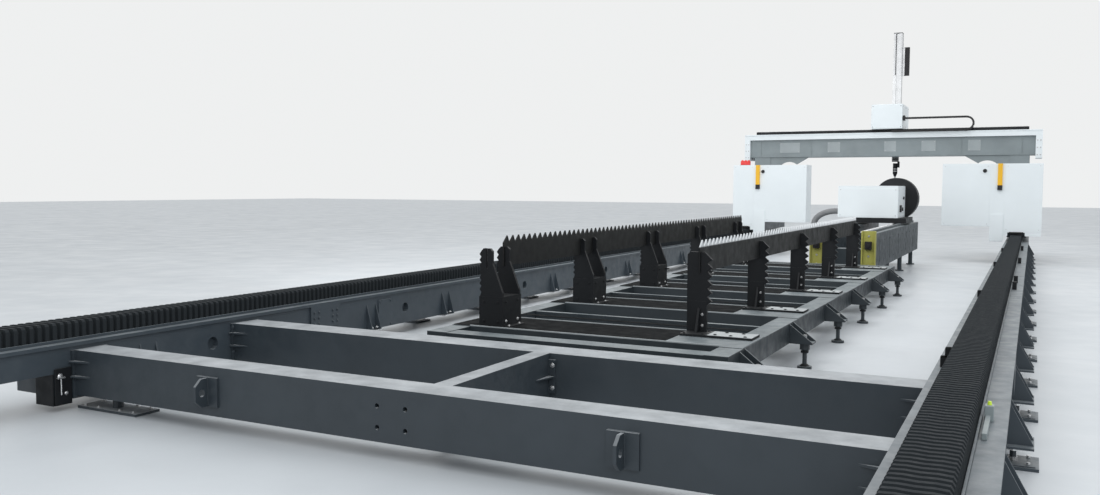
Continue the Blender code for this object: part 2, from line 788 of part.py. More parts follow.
def left_support(index):
    """Pair of toothed blades with sloping shoulders on a closed box."""
    x = LEFT_SUPPORT_X
    y = LEFT_STATION_Y + index * STATION_PITCH
    base = BED_TOP + GAP
    box_top = base + LEFT_BOX_HEIGHT
    left, right = x - LEFT_SUPPORT_WIDTH / 2, x + LEFT_SUPPORT_WIDTH / 2
    box_left = left - LEFT_TOOTH_DEPTH
    box_right = box_left + LEFT_BOX_WIDTH
    bm = fresh()
    block(bm, (box_left, y - LEFT_BOX_LENGTH / 2, base), (box_right, y + LEFT_BOX_LENGTH / 2, box_top))
    stand = solid(f"left_support_{index + 1}", bm, "black")
    low, high = box_top + LEFT_SHOULDER_LOW, SUPPORT_TOP - SUPPORT_CROWN
    teeth = sawtooth(-left, low, high, LEFT_TEETH, LEFT_TOOTH_DEPTH)
    outline = [(box_right - WELD, box_top - WELD), (box_left + WELD, box_top - WELD)]
    outline += [(-away, z) for away, z in teeth]
    outline += [
        (left + SUPPORT_CROWN, SUPPORT_TOP),
        (right - SUPPORT_CROWN, SUPPORT_TOP),
        (right, high),
        (right, low + LEFT_SHOULDER_RISE),
        (box_right - WELD, low),
    ]
    add = fresh()
    for step in (-1, 1):
        middle = y + step * LEFT_PAIR_SPACE / 2
        prism(add, outline, "y", middle - SUPPORT_PLATE / 2, middle + SUPPORT_PLATE / 2)
    weld(stand, add)
    slot_for_slat(stand, x, y)
    return stand


def slat(name, x, start, last):
    """Long toothed bar that the workpiece lies on."""
    top = SUPPORT_TOP + SLAT_REST
    bottom = top - SLAT_DEPTH
    end = last + SLAT_END
    teeth = int((end - start) / SLAT_TOOTH_PITCH)
    step = (end - start) / teeth
    outline = [(start, bottom), (end, bottom)]
    for i in range(teeth, 0, -1):
        outline.append((start + i * step, top))
        outline.append((start + (i - SLAT_LEAN_SHARE) * step, top + SLAT_TOOTH_HEIGHT))
    outline.append((start, top))
    bm = fresh()
    prism(bm, outline, "x", x - SLAT_THICKNESS / 2, x + SLAT_THICKNESS / 2)
    return solid(name, bm, "steel" if x > 0 else "black")



# Chuck bed with its end posts, headstock and chuck
def chuck_bed():
    length = CHUCK_BED_REAR - CHUCK_BED_FRONT
    lefts = (CHUCK_BED_LEFT, CHUCK_BED_RIGHT - CHUCK_BED_WALL)
    bm = fresh()
    block(
        bm,
        (lefts[1], CHUCK_BED_FRONT, CHUCK_BED_BOTTOM),
        (CHUCK_BED_RIGHT, CHUCK_BED_REAR, CHUCK_BED_TOP),
    )
    bed = solid("chuck_bed", bm, "grey")
    add = fresh()
    block(
        add,
        (lefts[0], CHUCK_BED_FRONT, CHUCK_BED_BOTTOM),
        (lefts[0] + CHUCK_BED_WALL, CHUCK_BED_REAR, CHUCK_BED_TOP),
    )
    for i in range(CHUCK_BED_TIE_COUNT):
        pitch = (length - 3 * CHUCK_BED_TIE) / (CHUCK_BED_TIE_COUNT - 1)
        y = CHUCK_BED_FRONT + CHUCK_BED_TIE + i * pitch
        block(
            add,
            (CHUCK_BED_LEFT + WELD, y, CHUCK_BED_BOTTOM + WELD),
            (CHUCK_BED_RIGHT - WELD, y + CHUCK_BED_TIE, CHUCK_BED_TOP - CHUCK_BED_TIE),
        )
    for left in lefts:
        x = left + CHUCK_BED_WALL / 2
        block(
            add,
            (x - CHUCK_GUIDE_WIDTH / 2, CHUCK_BED_FRONT + CHUCK_POST_THICKNESS, CHUCK_BED_TOP - WELD),
            (x + CHUCK_GUIDE_WIDTH / 2, CHUCK_BED_REAR - CHUCK_POST_THICKNESS, CHUCK_BED_TOP + CHUCK_GUIDE_HEIGHT),
        )
        for i in range(CHUCK_FOOT_COUNT):
            pitch = (length - 2 * CHUCK_BED_TIE) / (CHUCK_FOOT_COUNT - 1)
            y = CHUCK_BED_FRONT + CHUCK_BED_TIE + i * pitch
            rod(add, (x, y), CHUCK_FOOT_RADIUS, FOOT_PLATE_THICKNESS, CHUCK_BED_BOTTOM + WELD)
            rod(add, (x, y), CHUCK_PAD_RADIUS, 0, FOOT_PLATE_THICKNESS + WELD, sides=12)
    weld(bed, add)
    return bed


def end_post(name, left):
    """Painted end plate of a bed beam."""
    face = CHUCK_BED_FRONT - GAP
    bm = fresh()
    block(
        bm,
        (left, face - CHUCK_POST_THICKNESS, CHUCK_BED_BOTTOM),
        (left + CHUCK_BED_WALL, face, CHUCK_BED_TOP + CHUCK_GUIDE_HEIGHT),
    )
    return solid(name, bm, "yellow")


def saddle():
    base = CHUCK_BED_TOP + CHUCK_GUIDE_HEIGHT + GAP
    end = HEADSTOCK_FRONT + HEADSTOCK_LENGTH
    bm = fresh()
    block(
        bm,
        (CHUCK_BED_LEFT, HEADSTOCK_FRONT, base),
        (CHUCK_BED_RIGHT, end, base + SADDLE_THICKNESS),
    )
    return solid("chuck_saddle", bm, "black")


def headstock():
    base = CHUCK_BED_TOP + CHUCK_GUIDE_HEIGHT + SADDLE_THICKNESS + 2 * GAP
    end = HEADSTOCK_FRONT + HEADSTOCK_LENGTH
    bm = fresh()
    block(
        bm,
        (HEADSTOCK_LEFT, HEADSTOCK_FRONT, base),
        (HEADSTOCK_RIGHT, end, base + HEADSTOCK_HEIGHT),
    )
    box = solid("headstock", bm, "pale")
    add = fresh()
    spigot = CHUCK_BORE_RADIUS - CHUCK_RUNNING_GAP
    rod(add, (CHUCK_X, CHUCK_Z), spigot, end - WELD, end + CHUCK_FACE_STEP, axis="y", sides=32)
    weld(box, add)
    return box


def chuck_start():
    return HEADSTOCK_FRONT + HEADSTOCK_LENGTH + GAP


def chuck_drum():
    start = chuck_start()
    end = start + CHUCK_LENGTH
    bm = fresh()
    rod(bm, (CHUCK_X, CHUCK_Z), CHUCK_RADIUS, start, end, axis="y", sides=48)
    drum = solid("chuck", bm, "black")
    bore = fresh()
    rod(bore, (CHUCK_X, CHUCK_Z), CHUCK_BORE_RADIUS, start - OVERRUN, end + OVERRUN, axis="y", sides=32)
    groove = CHUCK_RADIUS - CHUCK_RIM_WIDTH
    rod(bore, (CHUCK_X, CHUCK_Z), groove, end - CHUCK_FACE_STEP, end + OVERRUN, axis="y", sides=48)
    cut(drum, bore)
    pivot(drum, (CHUCK_X, start, CHUCK_Z))
    return drum


def jaw(index):
    face = chuck_start() + CHUCK_LENGTH - CHUCK_FACE_STEP + GAP
    inner = CHUCK_BORE_RADIUS - JAW_STROKE / 2
    outer = inner + JAW_LENGTH
    bm = fresh()
    outline = [
        (inner, face),
        (outer, face),
        (outer, face + JAW_HEIGHT / 2),
        (inner + JAW_LENGTH / 2, face + JAW_HEIGHT / 2),
        (inner + JAW_LENGTH / 2, face + JAW_HEIGHT),
        (inner, face + JAW_HEIGHT),
    ]
    prism(bm, outline, "z", -JAW_WIDTH / 2, JAW_WIDTH / 2)
    spin = Matrix.Rotation(index * 2 * pi / JAW_COUNT, 4, "Y")
    bmesh.ops.transform(bm, matrix=Matrix.Translation((CHUCK_X, 0, CHUCK_Z)) @ spin, verts=bm.verts)
    grip = solid(f"chuck_jaw_{index + 1}", bm, "steel")
    pivot(grip, (CHUCK_X, chuck_start(), CHUCK_Z))
    return grip


def tube_path(bm, points, radii, sides, flat=1):
    """Skin a tube along points that lie in a plane of constant y, closed at both ends."""
    rings = []
    for i, (point, radius) in enumerate(zip(points, radii)):
        before = points[max(i - 1, 0)]
        after = points[min(i + 1, len(points) - 1)]
        along = (Vector(after) - Vector(before)).normalized()
        across = Vector((0, 1, 0))
        up = along.cross(across).normalized()
        ring = []
        for k in range(sides):
            turn = Matrix.Rotation(2 * pi * k / sides, 3, along)
            ring.append(bm.verts.new(Vector(point) + turn @ (up * radius * flat)))
        rings.append(ring)
    for near, far in zip(rings, rings[1:]):
        for k in range(sides):
            m = (k + 1) % sides
            bm.faces.new((near[k], near[m], far[m], far[k])).smooth = True
    bm.faces.new(rings[0])
    bm.faces.new(list(reversed(rings[-1])))



def hose():
    """Ribbed hose that loops from the headstock's side down to the bed's side."""
    top = CHUCK_BED_TOP + CHUCK_GUIDE_HEIGHT + SADDLE_THICKNESS + HOSE_RADIUS + 2 * HOSE_RIDGE
    low = CHUCK_BED_BOTTOM + HOSE_SEAT_SHARE * (CHUCK_BED_TOP - CHUCK_BED_BOTTOM)
    y = HEADSTOCK_FRONT + HOSE_RADIUS * 3
    start, end = HEADSTOCK_LEFT - GAP, CHUCK_BED_LEFT - GAP
    count = 2 * HOSE_RINGS
    points, radii = [(start, y, top)], [HOSE_RADIUS]
    for i in range(count + 1):
        t = i / count
        x = start + (end - start) * t - HOSE_RADIUS - HOSE_BULGE * sin(pi * t)
        points.append((x, y, top - (top - low) * (1 - cos(pi * t)) / 2))
        radii.append(HOSE_RADIUS + (HOSE_RIDGE if i % 2 else 0))
    points.append((end, y, low))
    radii.append(HOSE_RADIUS)
    bm = fresh()
    tube_path(bm, points, radii, 8)
    return solid("hose", bm, "grey")


# Gantry: trucks, legs with knees, box beam, top plate, guards
def rail_centre():
    return HALF_GAUGE + BELLOWS_INSET + BELLOWS_WIDTH / 2


def truck(side):
    """Carriage beam on the guide rail, with the post and arm that hold the guard."""
    name = "right_truck" if side > 0 else "left_truck"
    bottom = RAIL_TOP + FLANGE_THICKNESS + GUIDE_BED_HEIGHT + GUIDE_HEIGHT + 2 * GAP
    centre = rail_centre()
    half = TRUCK_WIDTH / 2
    bm = fresh()
    side_block(
        bm,
        side,
        (centre - half, centre + half),
        (GANTRY_FRONT, GANTRY_FRONT + TRUCK_LENGTH),
        (bottom, TRUCK_TOP),
    )
    beam = solid(name, bm, "dark")
    add = fresh()
    under = COVER_TOP - COVER_WALL - GAP
    side_block(
        add,
        side,
        (centre - half + WELD, centre + half - WELD),
        (GANTRY_FRONT + WELD, GANTRY_FRONT + GUARD_POST_DEPTH),
        (TRUCK_TOP - WELD, under - WELD),
    )
    side_block(
        add,
        side,
        (COVER_INNER_X + COVER_WALL + GAP, cover_outer(side) - COVER_WALL - GAP),
        (GANTRY_FRONT - GUARD_ARM_REACH, GANTRY_FRONT + GUARD_POST_DEPTH - WELD),
        (under - GUARD_ARM_HEIGHT, under),
    )
    weld(beam, add)
    return beam


def leg(side):
    name = "right_leg" if side > 0 else "left_leg"
    centre = rail_centre()
    half = LEG_WIDTH / 2
    y0, y1 = GANTRY_BEAM_Y + WELD, GANTRY_BEAM_Y + GANTRY_BEAM_DEPTH - WELD
    low, high = TRUCK_TOP + GAP, GANTRY_BEAM_BOTTOM - GAP
    bm = fresh()
    side_block(bm, side, (centre - half, centre + half), (y0, y1), (low, high))
    post = solid(name, bm, "grey")
    add = fresh()
    inner = centre - half
    knee = [
        (inner + WELD, high),
        (inner - KNEE_LENGTH, high),
        (inner - KNEE_LENGTH, high - GUSSET_THICKNESS),
        (inner + WELD, high - KNEE_DROP - KNEE_CUT_RADIUS),
    ]
    prism(add, [(side * x, z) for x, z in knee], "y", y0 + GUSSET_THICKNESS, y0 + 3 * GUSSET_THICKNESS)
    weld(post, add)
    arc = fresh()
    rod(
        arc,
        (side * (inner - KNEE_LENGTH / 2), high - KNEE_DROP - KNEE_CUT_RADIUS / 2),
        KNEE_CUT_RADIUS,
        y0 - OVERRUN,
        y0 + 4 * GUSSET_THICKNESS,
        axis="y",
        sides=32,
    )
    cut(post, arc)
    return post


def gantry_beam():
    bm = fresh()
    block(
        bm,
        (-GANTRY_HALF_SPAN, GANTRY_BEAM_Y, GANTRY_BEAM_BOTTOM),
        (GANTRY_HALF_SPAN, GANTRY_BEAM_Y + GANTRY_BEAM_DEPTH, GANTRY_BEAM_TOP),
    )
    return solid("gantry_beam", bm, "grey")


def top_plate():
    low = GANTRY_BEAM_TOP + GAP
    edge = GANTRY_HALF_SPAN + END_PLATE_THICKNESS + GAP
    bm = fresh()
    block(
        bm,
        (-edge, GANTRY_BEAM_Y - TOP_PLATE_LIP, low),
        (edge, GANTRY_BEAM_Y + GANTRY_BEAM_DEPTH + TOP_PLATE_LIP, low + TOP_PLATE_THICKNESS),
    )
    return solid("top_plate", bm, "pale")


def end_plate(side):
    name = "right_end_plate" if side > 0 else "left_end_plate"
    bm = fresh()
    side_block(
        bm,
        side,
        (GANTRY_HALF_SPAN + GAP, GANTRY_HALF_SPAN + GAP + END_PLATE_THICKNESS),
        (GANTRY_BEAM_Y - TOP_PLATE_LIP, GANTRY_BEAM_Y + GANTRY_BEAM_DEPTH + TOP_PLATE_LIP),
        (GANTRY_BEAM_TOP - END_PLATE_DROP, GANTRY_BEAM_TOP),
    )
    return solid(name, bm, "pale")


def top_strip():
    low = GANTRY_BEAM_TOP + TOP_PLATE_THICKNESS + 2 * GAP
    reach = GANTRY_HALF_SPAN - STRIP_INSET
    bm = fresh()
    block(
        bm,
        (-reach, GANTRY_BEAM_Y, low),
        (reach, GANTRY_BEAM_Y + GANTRY_BEAM_DEPTH, low + STRIP_HEIGHT),
    )
    return solid("top_strip", bm, "black")


def cover_outer(side):
    return RIGHT_COVER_OUTER_X if side > 0 else LEFT_COVER_OUTER_X


def cover(side):
    """Sheet guard in front of a truck, open at the back, slotted where the folded cover passes."""
    name = "right_cover" if side > 0 else "left_cover"
    outer = cover_outer(side)
    front = GANTRY_FRONT - COVER_LENGTH
    back = GANTRY_FRONT - GAP
    bm = fresh()
    slot_top = BELLOWS_TOP + COVER_SLOT_RISE
    slot_in = HALF_GAUGE + BELLOWS_INSET - COVER_SLOT_SIDE
    slot_out = HALF_GAUGE + BELLOWS_INSET + BELLOWS_WIDTH + COVER_SLOT_SIDE
    outline = [
        (COVER_INNER_X, COVER_BOTTOM),
        (COVER_STEP_X, COVER_BOTTOM),
        (COVER_STEP_X, COVER_RAIL_BOTTOM),
        (slot_in, COVER_RAIL_BOTTOM),
        (slot_in, slot_top),
        (slot_out, slot_top),
        (slot_out, COVER_RAIL_BOTTOM),
        (outer, COVER_RAIL_BOTTOM),
        (outer, COVER_TOP),
        (COVER_INNER_X, COVER_TOP),
    ]
    prism(bm, [(side * x, z) for x, z in outline], "y", front, front + COVER_WALL)
    guard = solid(name, bm, "pale")
    add = fresh()
    for x in ((COVER_INNER_X, COVER_INNER_X + COVER_WALL), (outer - COVER_WALL, outer)):
        bottom = COVER_BOTTOM if x[0] == COVER_INNER_X else COVER_RAIL_BOTTOM
        side_block(add, side, x, (front + WELD, back), (bottom, COVER_TOP - WELD))
    side_block(
        add,
        side,
        (COVER_INNER_X + WELD, outer - WELD),
        (front + WELD, back),
        (COVER_TOP - COVER_WALL, COVER_TOP),
    )
    weld(guard, add)
    return guard


def apron(side):
    """Narrow sheet strip that hangs below the guard beside the rail."""
    name = "right_apron" if side > 0 else "left_apron"
    front = GANTRY_FRONT - COVER_LENGTH - GAP
    bm = fresh()
    side_block(
        bm,
        side,
        (COVER_STEP_X - APRON_WIDTH, COVER_STEP_X),
        (front - APRON_THICKNESS, front),
        (APRON_BOTTOM, COVER_BOTTOM + APRON_WIDTH),
    )
    return solid(name, bm, "pale")


def light_curtain(side):
    name = "right_light_curtain" if side > 0 else "left_light_curtain"
    front = GANTRY_FRONT - COVER_LENGTH - GAP
    x = COVER_STEP_X - CURTAIN_WIDTH
    bm = fresh()
    side_block(
        bm,
        side,
        (x - CURTAIN_WIDTH / 2, x + CURTAIN_WIDTH / 2),
        (front - CURTAIN_DEPTH, front),
        (COVER_TOP - CURTAIN_HEIGHT, COVER_TOP),
    )
    return solid(name, bm, "yellow")


def beacon():
    x = BEACON_WIDTH - cover_outer(-1)
    y = GANTRY_FRONT - COVER_LENGTH / 2
    low = COVER_TOP + GAP
    bm = fresh()
    block(
        bm,
        (x - BEACON_WIDTH / 2, y - BEACON_HEIGHT / 2, low),
        (x + BEACON_WIDTH / 2, y + BEACON_HEIGHT / 2, low + BEACON_HEIGHT),
    )
    return solid("beacon", bm, "red")


# Carriage on top of the beam, ram behind it, head below
def ram_y():
    return GANTRY_BEAM_Y + GANTRY_BEAM_DEPTH + TOP_PLATE_LIP + RAM_BEAM_GAP + RAM_DEPTH / 2


def carriage():
    front = GANTRY_BEAM_Y - TOP_PLATE_LIP - CARRIAGE_FRONT_OVERHANG
    back = ram_y() + RAM_DEPTH / 2 + RAM_SLEEVE_WALL
    low, high = CARRIAGE_BOTTOM, CARRIAGE_TOP
    bm = fresh()
    block(
        bm,
        (CARRIAGE_X - CARRIAGE_WIDTH / 2, front, low),
        (CARRIAGE_X + CARRIAGE_WIDTH / 2, back, high),
    )
    box = solid("carriage", bm, "pale")
    hole = fresh()
    block(
        hole,
        (RAM_X - RAM_WIDTH / 2 - GAP, ram_y() - RAM_DEPTH / 2 - GAP, low - OVERRUN),
        (RAM_X + RAM_WIDTH / 2 + GAP, ram_y() + RAM_DEPTH / 2 + GAP, high + OVERRUN),
    )
    cut(box, hole)
    return box


def ram():
    bm = fresh()
    x, y = RAM_X, ram_y()
    w, d, g = RAM_WIDTH / 2, RAM_DEPTH / 2, RAM_GROOVE
    outline = [
        (x - w, y - d), (x - g, y - d), (x - g, y - d + g), (x + g, y - d + g),
        (x + g, y - d), (x + w, y - d), (x + w, y + d), (x - w, y + d),
    ]
    prism(bm, outline, "z", RAM_BOTTOM, RAM_TOP)
    return solid("ram", bm, "steel")


def ram_chain():
    """Upright cable chain beside the ram on its carrier plate, with a step at each link."""
    plate = RAM_X + RAM_WIDTH / 2 + GAP
    x0 = plate + RAM_CHAIN_OFFSET
    y = ram_y()
    low = CARRIAGE_TOP + RAM_TRAVEL + GAP
    bm = fresh()
    step = (RAM_CHAIN_TOP - low) / RAM_CHAIN_LINKS
    outline = [(x0, low), (x0 + RAM_CHAIN_WIDTH, low)]
    for i in range(RAM_CHAIN_LINKS):
        z = low + i * step
        notch = x0 + RAM_CHAIN_WIDTH - CHAIN_LINK_STEP
        if i:
            outline += [(notch, z), (x0 + RAM_CHAIN_WIDTH, z + step * LINK_NOTCH_SHARE)]
        outline.append((x0 + RAM_CHAIN_WIDTH, z + step * (1 - LINK_NOTCH_SHARE)))
    outline += [(x0 + RAM_CHAIN_WIDTH, RAM_CHAIN_TOP), (x0, RAM_CHAIN_TOP)]
    prism(bm, outline, "y", y - RAM_CHAIN_DEPTH / 2, y + RAM_CHAIN_DEPTH / 2)
    chain = solid("ram_chain", bm, "black")
    add = fresh()
    block(
        add,
        (plate, y - RAM_CHAIN_PLATE / 2, low + WELD),
        (x0 + WELD, y + RAM_CHAIN_PLATE / 2, RAM_CHAIN_TOP - WELD),
    )
    weld(chain, add)
    return chain



def cross_chain():
    """Loop of cable chain: lower run on the beam's top, bend at the right, upper run to the carriage."""
    y0 = GANTRY_BEAM_Y - TOP_PLATE_LIP
    low = GANTRY_BEAM_TOP + TOP_PLATE_THICKNESS + GAP
    middle = low + CROSS_CHAIN_RADIUS
    r_out, r_in = CROSS_CHAIN_RADIUS, CROSS_CHAIN_RADIUS - CROSS_CHAIN_THICKNESS
    right = CROSS_CHAIN_RIGHT - r_out
    top_start = CARRIAGE_X + CARRIAGE_WIDTH / 2 + GAP
    outline = [(CROSS_CHAIN_LEFT, middle - r_out)]
    bend = [-pi / 2 + pi * i / BEND_STEPS for i in range(BEND_STEPS + 1)]
    outline += [(right + r_out * cos(a), middle + r_out * sin(a)) for a in bend]
    outline += [(top_start, middle + r_out), (top_start, middle + r_in)]
    outline += [(right + r_in * cos(a), middle + r_in * sin(a)) for a in reversed(bend)]
    outline += [(CROSS_CHAIN_LEFT, middle - r_in)]
    bm = fresh()
    prism(bm, outline, "y", y0 - CROSS_CHAIN_WIDTH, y0)
    return solid("cross_chain", bm, "black")


def head_turret():
    """Round turret under the ram with a side arm that carries the tilting nozzle."""
    top = RAM_BOTTOM - GAP
    x, y = RAM_X, ram_y()
    bm = fresh()
    rod(bm, (x, y), HEAD_RADIUS, top - HEAD_HEIGHT, top, sides=32)
    head = solid("head_turret", bm, "black")
    add = fresh()
    block(
        add,
        (x + NOZZLE_RADIUS + GAP, y - HEAD_ARM_THICKNESS, top - HEAD_HEIGHT - HEAD_ARM_LENGTH),
        (x + NOZZLE_RADIUS + GAP + HEAD_ARM_THICKNESS, y + HEAD_ARM_THICKNESS, top - HEAD_HEIGHT + WELD),
    )
    block(
        add,
        (x, y - HEAD_ARM_THICKNESS, top - HEAD_HEIGHT - GAP),
        (x + NOZZLE_RADIUS + GAP + HEAD_ARM_THICKNESS, y + HEAD_ARM_THICKNESS, top - HEAD_HEIGHT + WELD),
    )
    weld(head, add)
    pivot(head, (x, y, top - HEAD_HEIGHT / 2))
    return head


def tilt_axis_z():
    return RAM_BOTTOM - HEAD_HEIGHT - HEAD_ARM_LENGTH * TILT_SHARE



def nozzle():
    x, y, z = RAM_X, ram_y(), tilt_axis_z()
    bm = fresh()
    taper = z - NOZZLE_LENGTH * TILT_SHARE
    rod(bm, (x, y), NOZZLE_TIP_RADIUS, z - NOZZLE_LENGTH, taper + WELD, sides=24, tip=NOZZLE_RADIUS)
    body = solid("nozzle", bm, "black")
    add = fresh()
    rod(add, (x, y), NOZZLE_RADIUS, taper, z + NOZZLE_RADIUS, sides=24)
    weld(body, add)
    pivot(body, (x, y, z))
    return body


for side in (-1, 1):
    ground_rail(side)
    guide(side)
    bellows(side)
cross_beam("front_crossbeam", FRONT_BEAM_Y, FRONT_BEAM_WIDTH, True)
cross_beam("second_crossbeam", SECOND_BEAM_Y, SECOND_BEAM_WIDTH, False)
lifting_lug("left_lifting_lug", -LUG_X)
lifting_lug("right_lifting_lug", LUG_X)
link_beam()
support_bed()
for index in range(STATION_COUNT):
    left_support(index)
    right_support(index)
run = (STATION_COUNT - 1) * STATION_PITCH
rear_blade = LEFT_STATION_Y + LEFT_PAIR_SPACE / 2
slat("left_slat", LEFT_SUPPORT_X, rear_blade - SUPPORT_PLATE, rear_blade + run)
slat("right_slat", RIGHT_SUPPORT_X, RIGHT_STATION_Y - SUPPORT_PLATE, RIGHT_STATION_Y + run)
chuck_bed()
end_post("left_end_post", CHUCK_BED_LEFT)
end_post("right_end_post", CHUCK_BED_RIGHT - CHUCK_BED_WALL)
saddle()
headstock()
chuck_drum()
for index in range(JAW_COUNT):
    jaw(index)
hose()
for side in (-1, 1):
    truck(side)
    leg(side)
    cover(side)
    apron(side)
    light_curtain(side)
    end_plate(side)
gantry_beam()
top_plate()
top_strip()
beacon()
carriage()
ram()
ram_chain()
cross_chain()
head_turret()
nozzle()
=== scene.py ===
from math import cos, pi, radians, sin

import bmesh
import bpy
from mathutils import Matrix, Vector


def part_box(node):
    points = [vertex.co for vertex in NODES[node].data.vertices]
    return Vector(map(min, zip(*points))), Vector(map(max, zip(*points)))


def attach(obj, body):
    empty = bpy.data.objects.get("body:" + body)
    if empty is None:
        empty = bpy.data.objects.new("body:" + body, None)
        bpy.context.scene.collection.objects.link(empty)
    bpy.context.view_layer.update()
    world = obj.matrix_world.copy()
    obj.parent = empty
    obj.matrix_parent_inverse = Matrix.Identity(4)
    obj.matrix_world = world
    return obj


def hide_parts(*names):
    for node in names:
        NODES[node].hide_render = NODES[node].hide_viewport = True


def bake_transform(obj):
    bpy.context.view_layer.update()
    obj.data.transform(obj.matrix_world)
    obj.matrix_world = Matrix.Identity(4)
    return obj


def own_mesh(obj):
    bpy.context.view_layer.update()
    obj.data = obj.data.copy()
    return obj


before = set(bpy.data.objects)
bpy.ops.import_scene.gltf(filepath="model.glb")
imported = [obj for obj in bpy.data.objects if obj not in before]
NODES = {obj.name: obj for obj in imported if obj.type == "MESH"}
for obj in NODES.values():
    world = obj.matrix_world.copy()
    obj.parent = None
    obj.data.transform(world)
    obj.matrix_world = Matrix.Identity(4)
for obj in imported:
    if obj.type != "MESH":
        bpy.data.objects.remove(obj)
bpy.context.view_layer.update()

# Camera at the photograph's place and angle, no shift
cam_data = bpy.data.cameras.new("camera")
cam = bpy.data.objects.new("camera", cam_data)
bpy.context.scene.collection.objects.link(cam)
cam_data.sensor_width = 36.0
cam_data.lens = 945.2 / 1100 * 36.0
cam_data.clip_end = 200.0
yaw, pitch, roll = radians(27.06), radians(3.64), radians(-0.27)
forward = Vector((-sin(yaw) * cos(pitch), cos(yaw) * cos(pitch), -sin(pitch)))
right = Vector((cos(yaw), sin(yaw), 0))
down = forward.cross(right)
right_r = right * cos(roll) + down * sin(roll)
down_r = -right * sin(roll) + down * cos(roll)
turn = Matrix((right_r, -down_r, -forward)).transposed().to_4x4()
cam.matrix_world = Matrix.Translation((3.6, -16.0, 1.75)) @ turn
bpy.context.scene.camera = cam
bpy.context.scene.view_settings.view_transform = "Standard"


# Node helpers
class Mat:
    """A Principled material with small helpers to wire its nodes."""

    def __init__(self, name, colour, metallic=0.0, roughness=0.5, gloss=0.5):
        self.mat = bpy.data.materials.new(name)
        self.mat.use_nodes = True
        self.tree = self.mat.node_tree
        self.links = self.tree.links
        self.shader = self.tree.nodes["Principled BSDF"]
        self.shader.inputs["Base Color"].default_value = (*colour, 1)
        self.shader.inputs["Metallic"].default_value = metallic
        self.shader.inputs["Roughness"].default_value = roughness
        self.shader.inputs["Specular IOR Level"].default_value = gloss
        self.coords = self.node("ShaderNodeTexCoord").outputs["Object"]

    def node(self, kind, **values):
        n = self.tree.nodes.new(kind)
        for key, value in values.items():
            setattr(n, key, value)
        return n

    def noise(self, scale, detail=4.0, rough=0.55, stretch=None):
        source = self.coords
        if stretch:
            m = self.node("ShaderNodeMapping")
            m.inputs["Scale"].default_value = stretch
            self.links.new(source, m.inputs["Vector"])
            source = m.outputs["Vector"]
        n = self.node("ShaderNodeTexNoise")
        n.inputs["Scale"].default_value = scale
        n.inputs["Detail"].default_value = detail
        n.inputs["Roughness"].default_value = rough
        self.links.new(source, n.inputs["Vector"])
        return n.outputs["Fac"]

    def ramp(self, source, low, high, a, b):
        r = self.node("ShaderNodeMapRange")
        r.inputs["From Min"].default_value = low
        r.inputs["From Max"].default_value = high
        r.inputs["To Min"].default_value = a
        r.inputs["To Max"].default_value = b
        self.links.new(source, r.inputs["Value"])
        return r.outputs["Result"]

    def math(self, op, a, b):
        m = self.node("ShaderNodeMath", operation=op)
        for i, v in enumerate((a, b)):
            if isinstance(v, (int, float)):
                m.inputs[i].default_value = v
            else:
                self.links.new(v, m.inputs[i])
        return m.outputs[0]

    def mix(self, fac, a, b):
        m = self.node("ShaderNodeMix", data_type="RGBA")
        for key, v in (("A", a), ("B", b)):
            socket = [s for s in m.inputs if s.name == key and s.type == "RGBA"][0]
            if isinstance(v, tuple):
                socket.default_value = (*v, 1)
            else:
                self.links.new(v, socket)
        self.links.new(fac, m.inputs["Factor"])
        return [s for s in m.outputs if s.type == "RGBA"][0]

    def colour(self, socket):
        self.links.new(socket, self.shader.inputs["Base Color"])

    def rough(self, socket):
        self.links.new(socket, self.shader.inputs["Roughness"])

    def bump(self, height, strength, distance=0.002):
        b = self.node("ShaderNodeBump")
        b.inputs["Strength"].default_value = strength
        b.inputs["Distance"].default_value = distance
        self.links.new(height, b.inputs["Height"])
        self.links.new(b.outputs["Normal"], self.shader.inputs["Normal"])

    def up(self):
        """How much the surface faces up, from 0 to 1."""
        g = self.node("ShaderNodeNewGeometry")
        s = self.node("ShaderNodeSeparateXYZ")
        self.links.new(g.outputs["Normal"], s.inputs[0])
        return s.outputs["Z"]


def painted(name, colour, dust=(0.3, 0.3, 0.29), top_tint_amount=0.35, rough=0.45, speck=0.08, orange=0.12,
            gloss=0.5, tips=None):
    """Paint with cloudy tone, dust and painted sheen on top faces, orange-peel bump and scuffs.

    Above the height tips, where one is given, it is worn to bare metal.
    """
    m = Mat(name, colour, 0.0, rough, gloss)
    cloud = m.noise(1.6, 5)
    darker = tuple(c * (1 - speck * 2) for c in colour)
    base = m.mix(m.ramp(cloud, 0.35, 0.7, 0, 1), colour, darker)
    # Painted sheen: faces turned up are tinted towards the dust colour, partly real dust and partly the sheen
    # of light falling on them
    top = m.ramp(m.up(), 0.55, 0.95, 0, 1)
    patch = m.ramp(m.noise(3.5, 6, 0.65), 0.35, 0.75, 0.5, 1.0)
    amount = m.math("MULTIPLY", m.math("MULTIPLY", top, patch), top_tint_amount)
    base = m.mix(amount, base, dust)
    if tips:
        split = m.node("ShaderNodeSeparateXYZ")
        m.links.new(m.coords, split.inputs[0])
        base = m.mix(m.ramp(split.outputs["Z"], tips, tips + 0.012, 0, 1), base, (0.55, 0.57, 0.58))
    scuff = m.ramp(m.noise(26, 5, 0.7), 0.68, 0.78, 0, 0.35)
    base = m.mix(scuff, base, tuple(min(1, c * 1.5 + 0.02) for c in colour))
    m.colour(base)
    m.rough(m.ramp(m.noise(9, 4), 0.3, 0.75, rough - 0.1, rough + 0.16))
    m.bump(m.noise(220, 2), orange, 0.0008)
    return m.mat


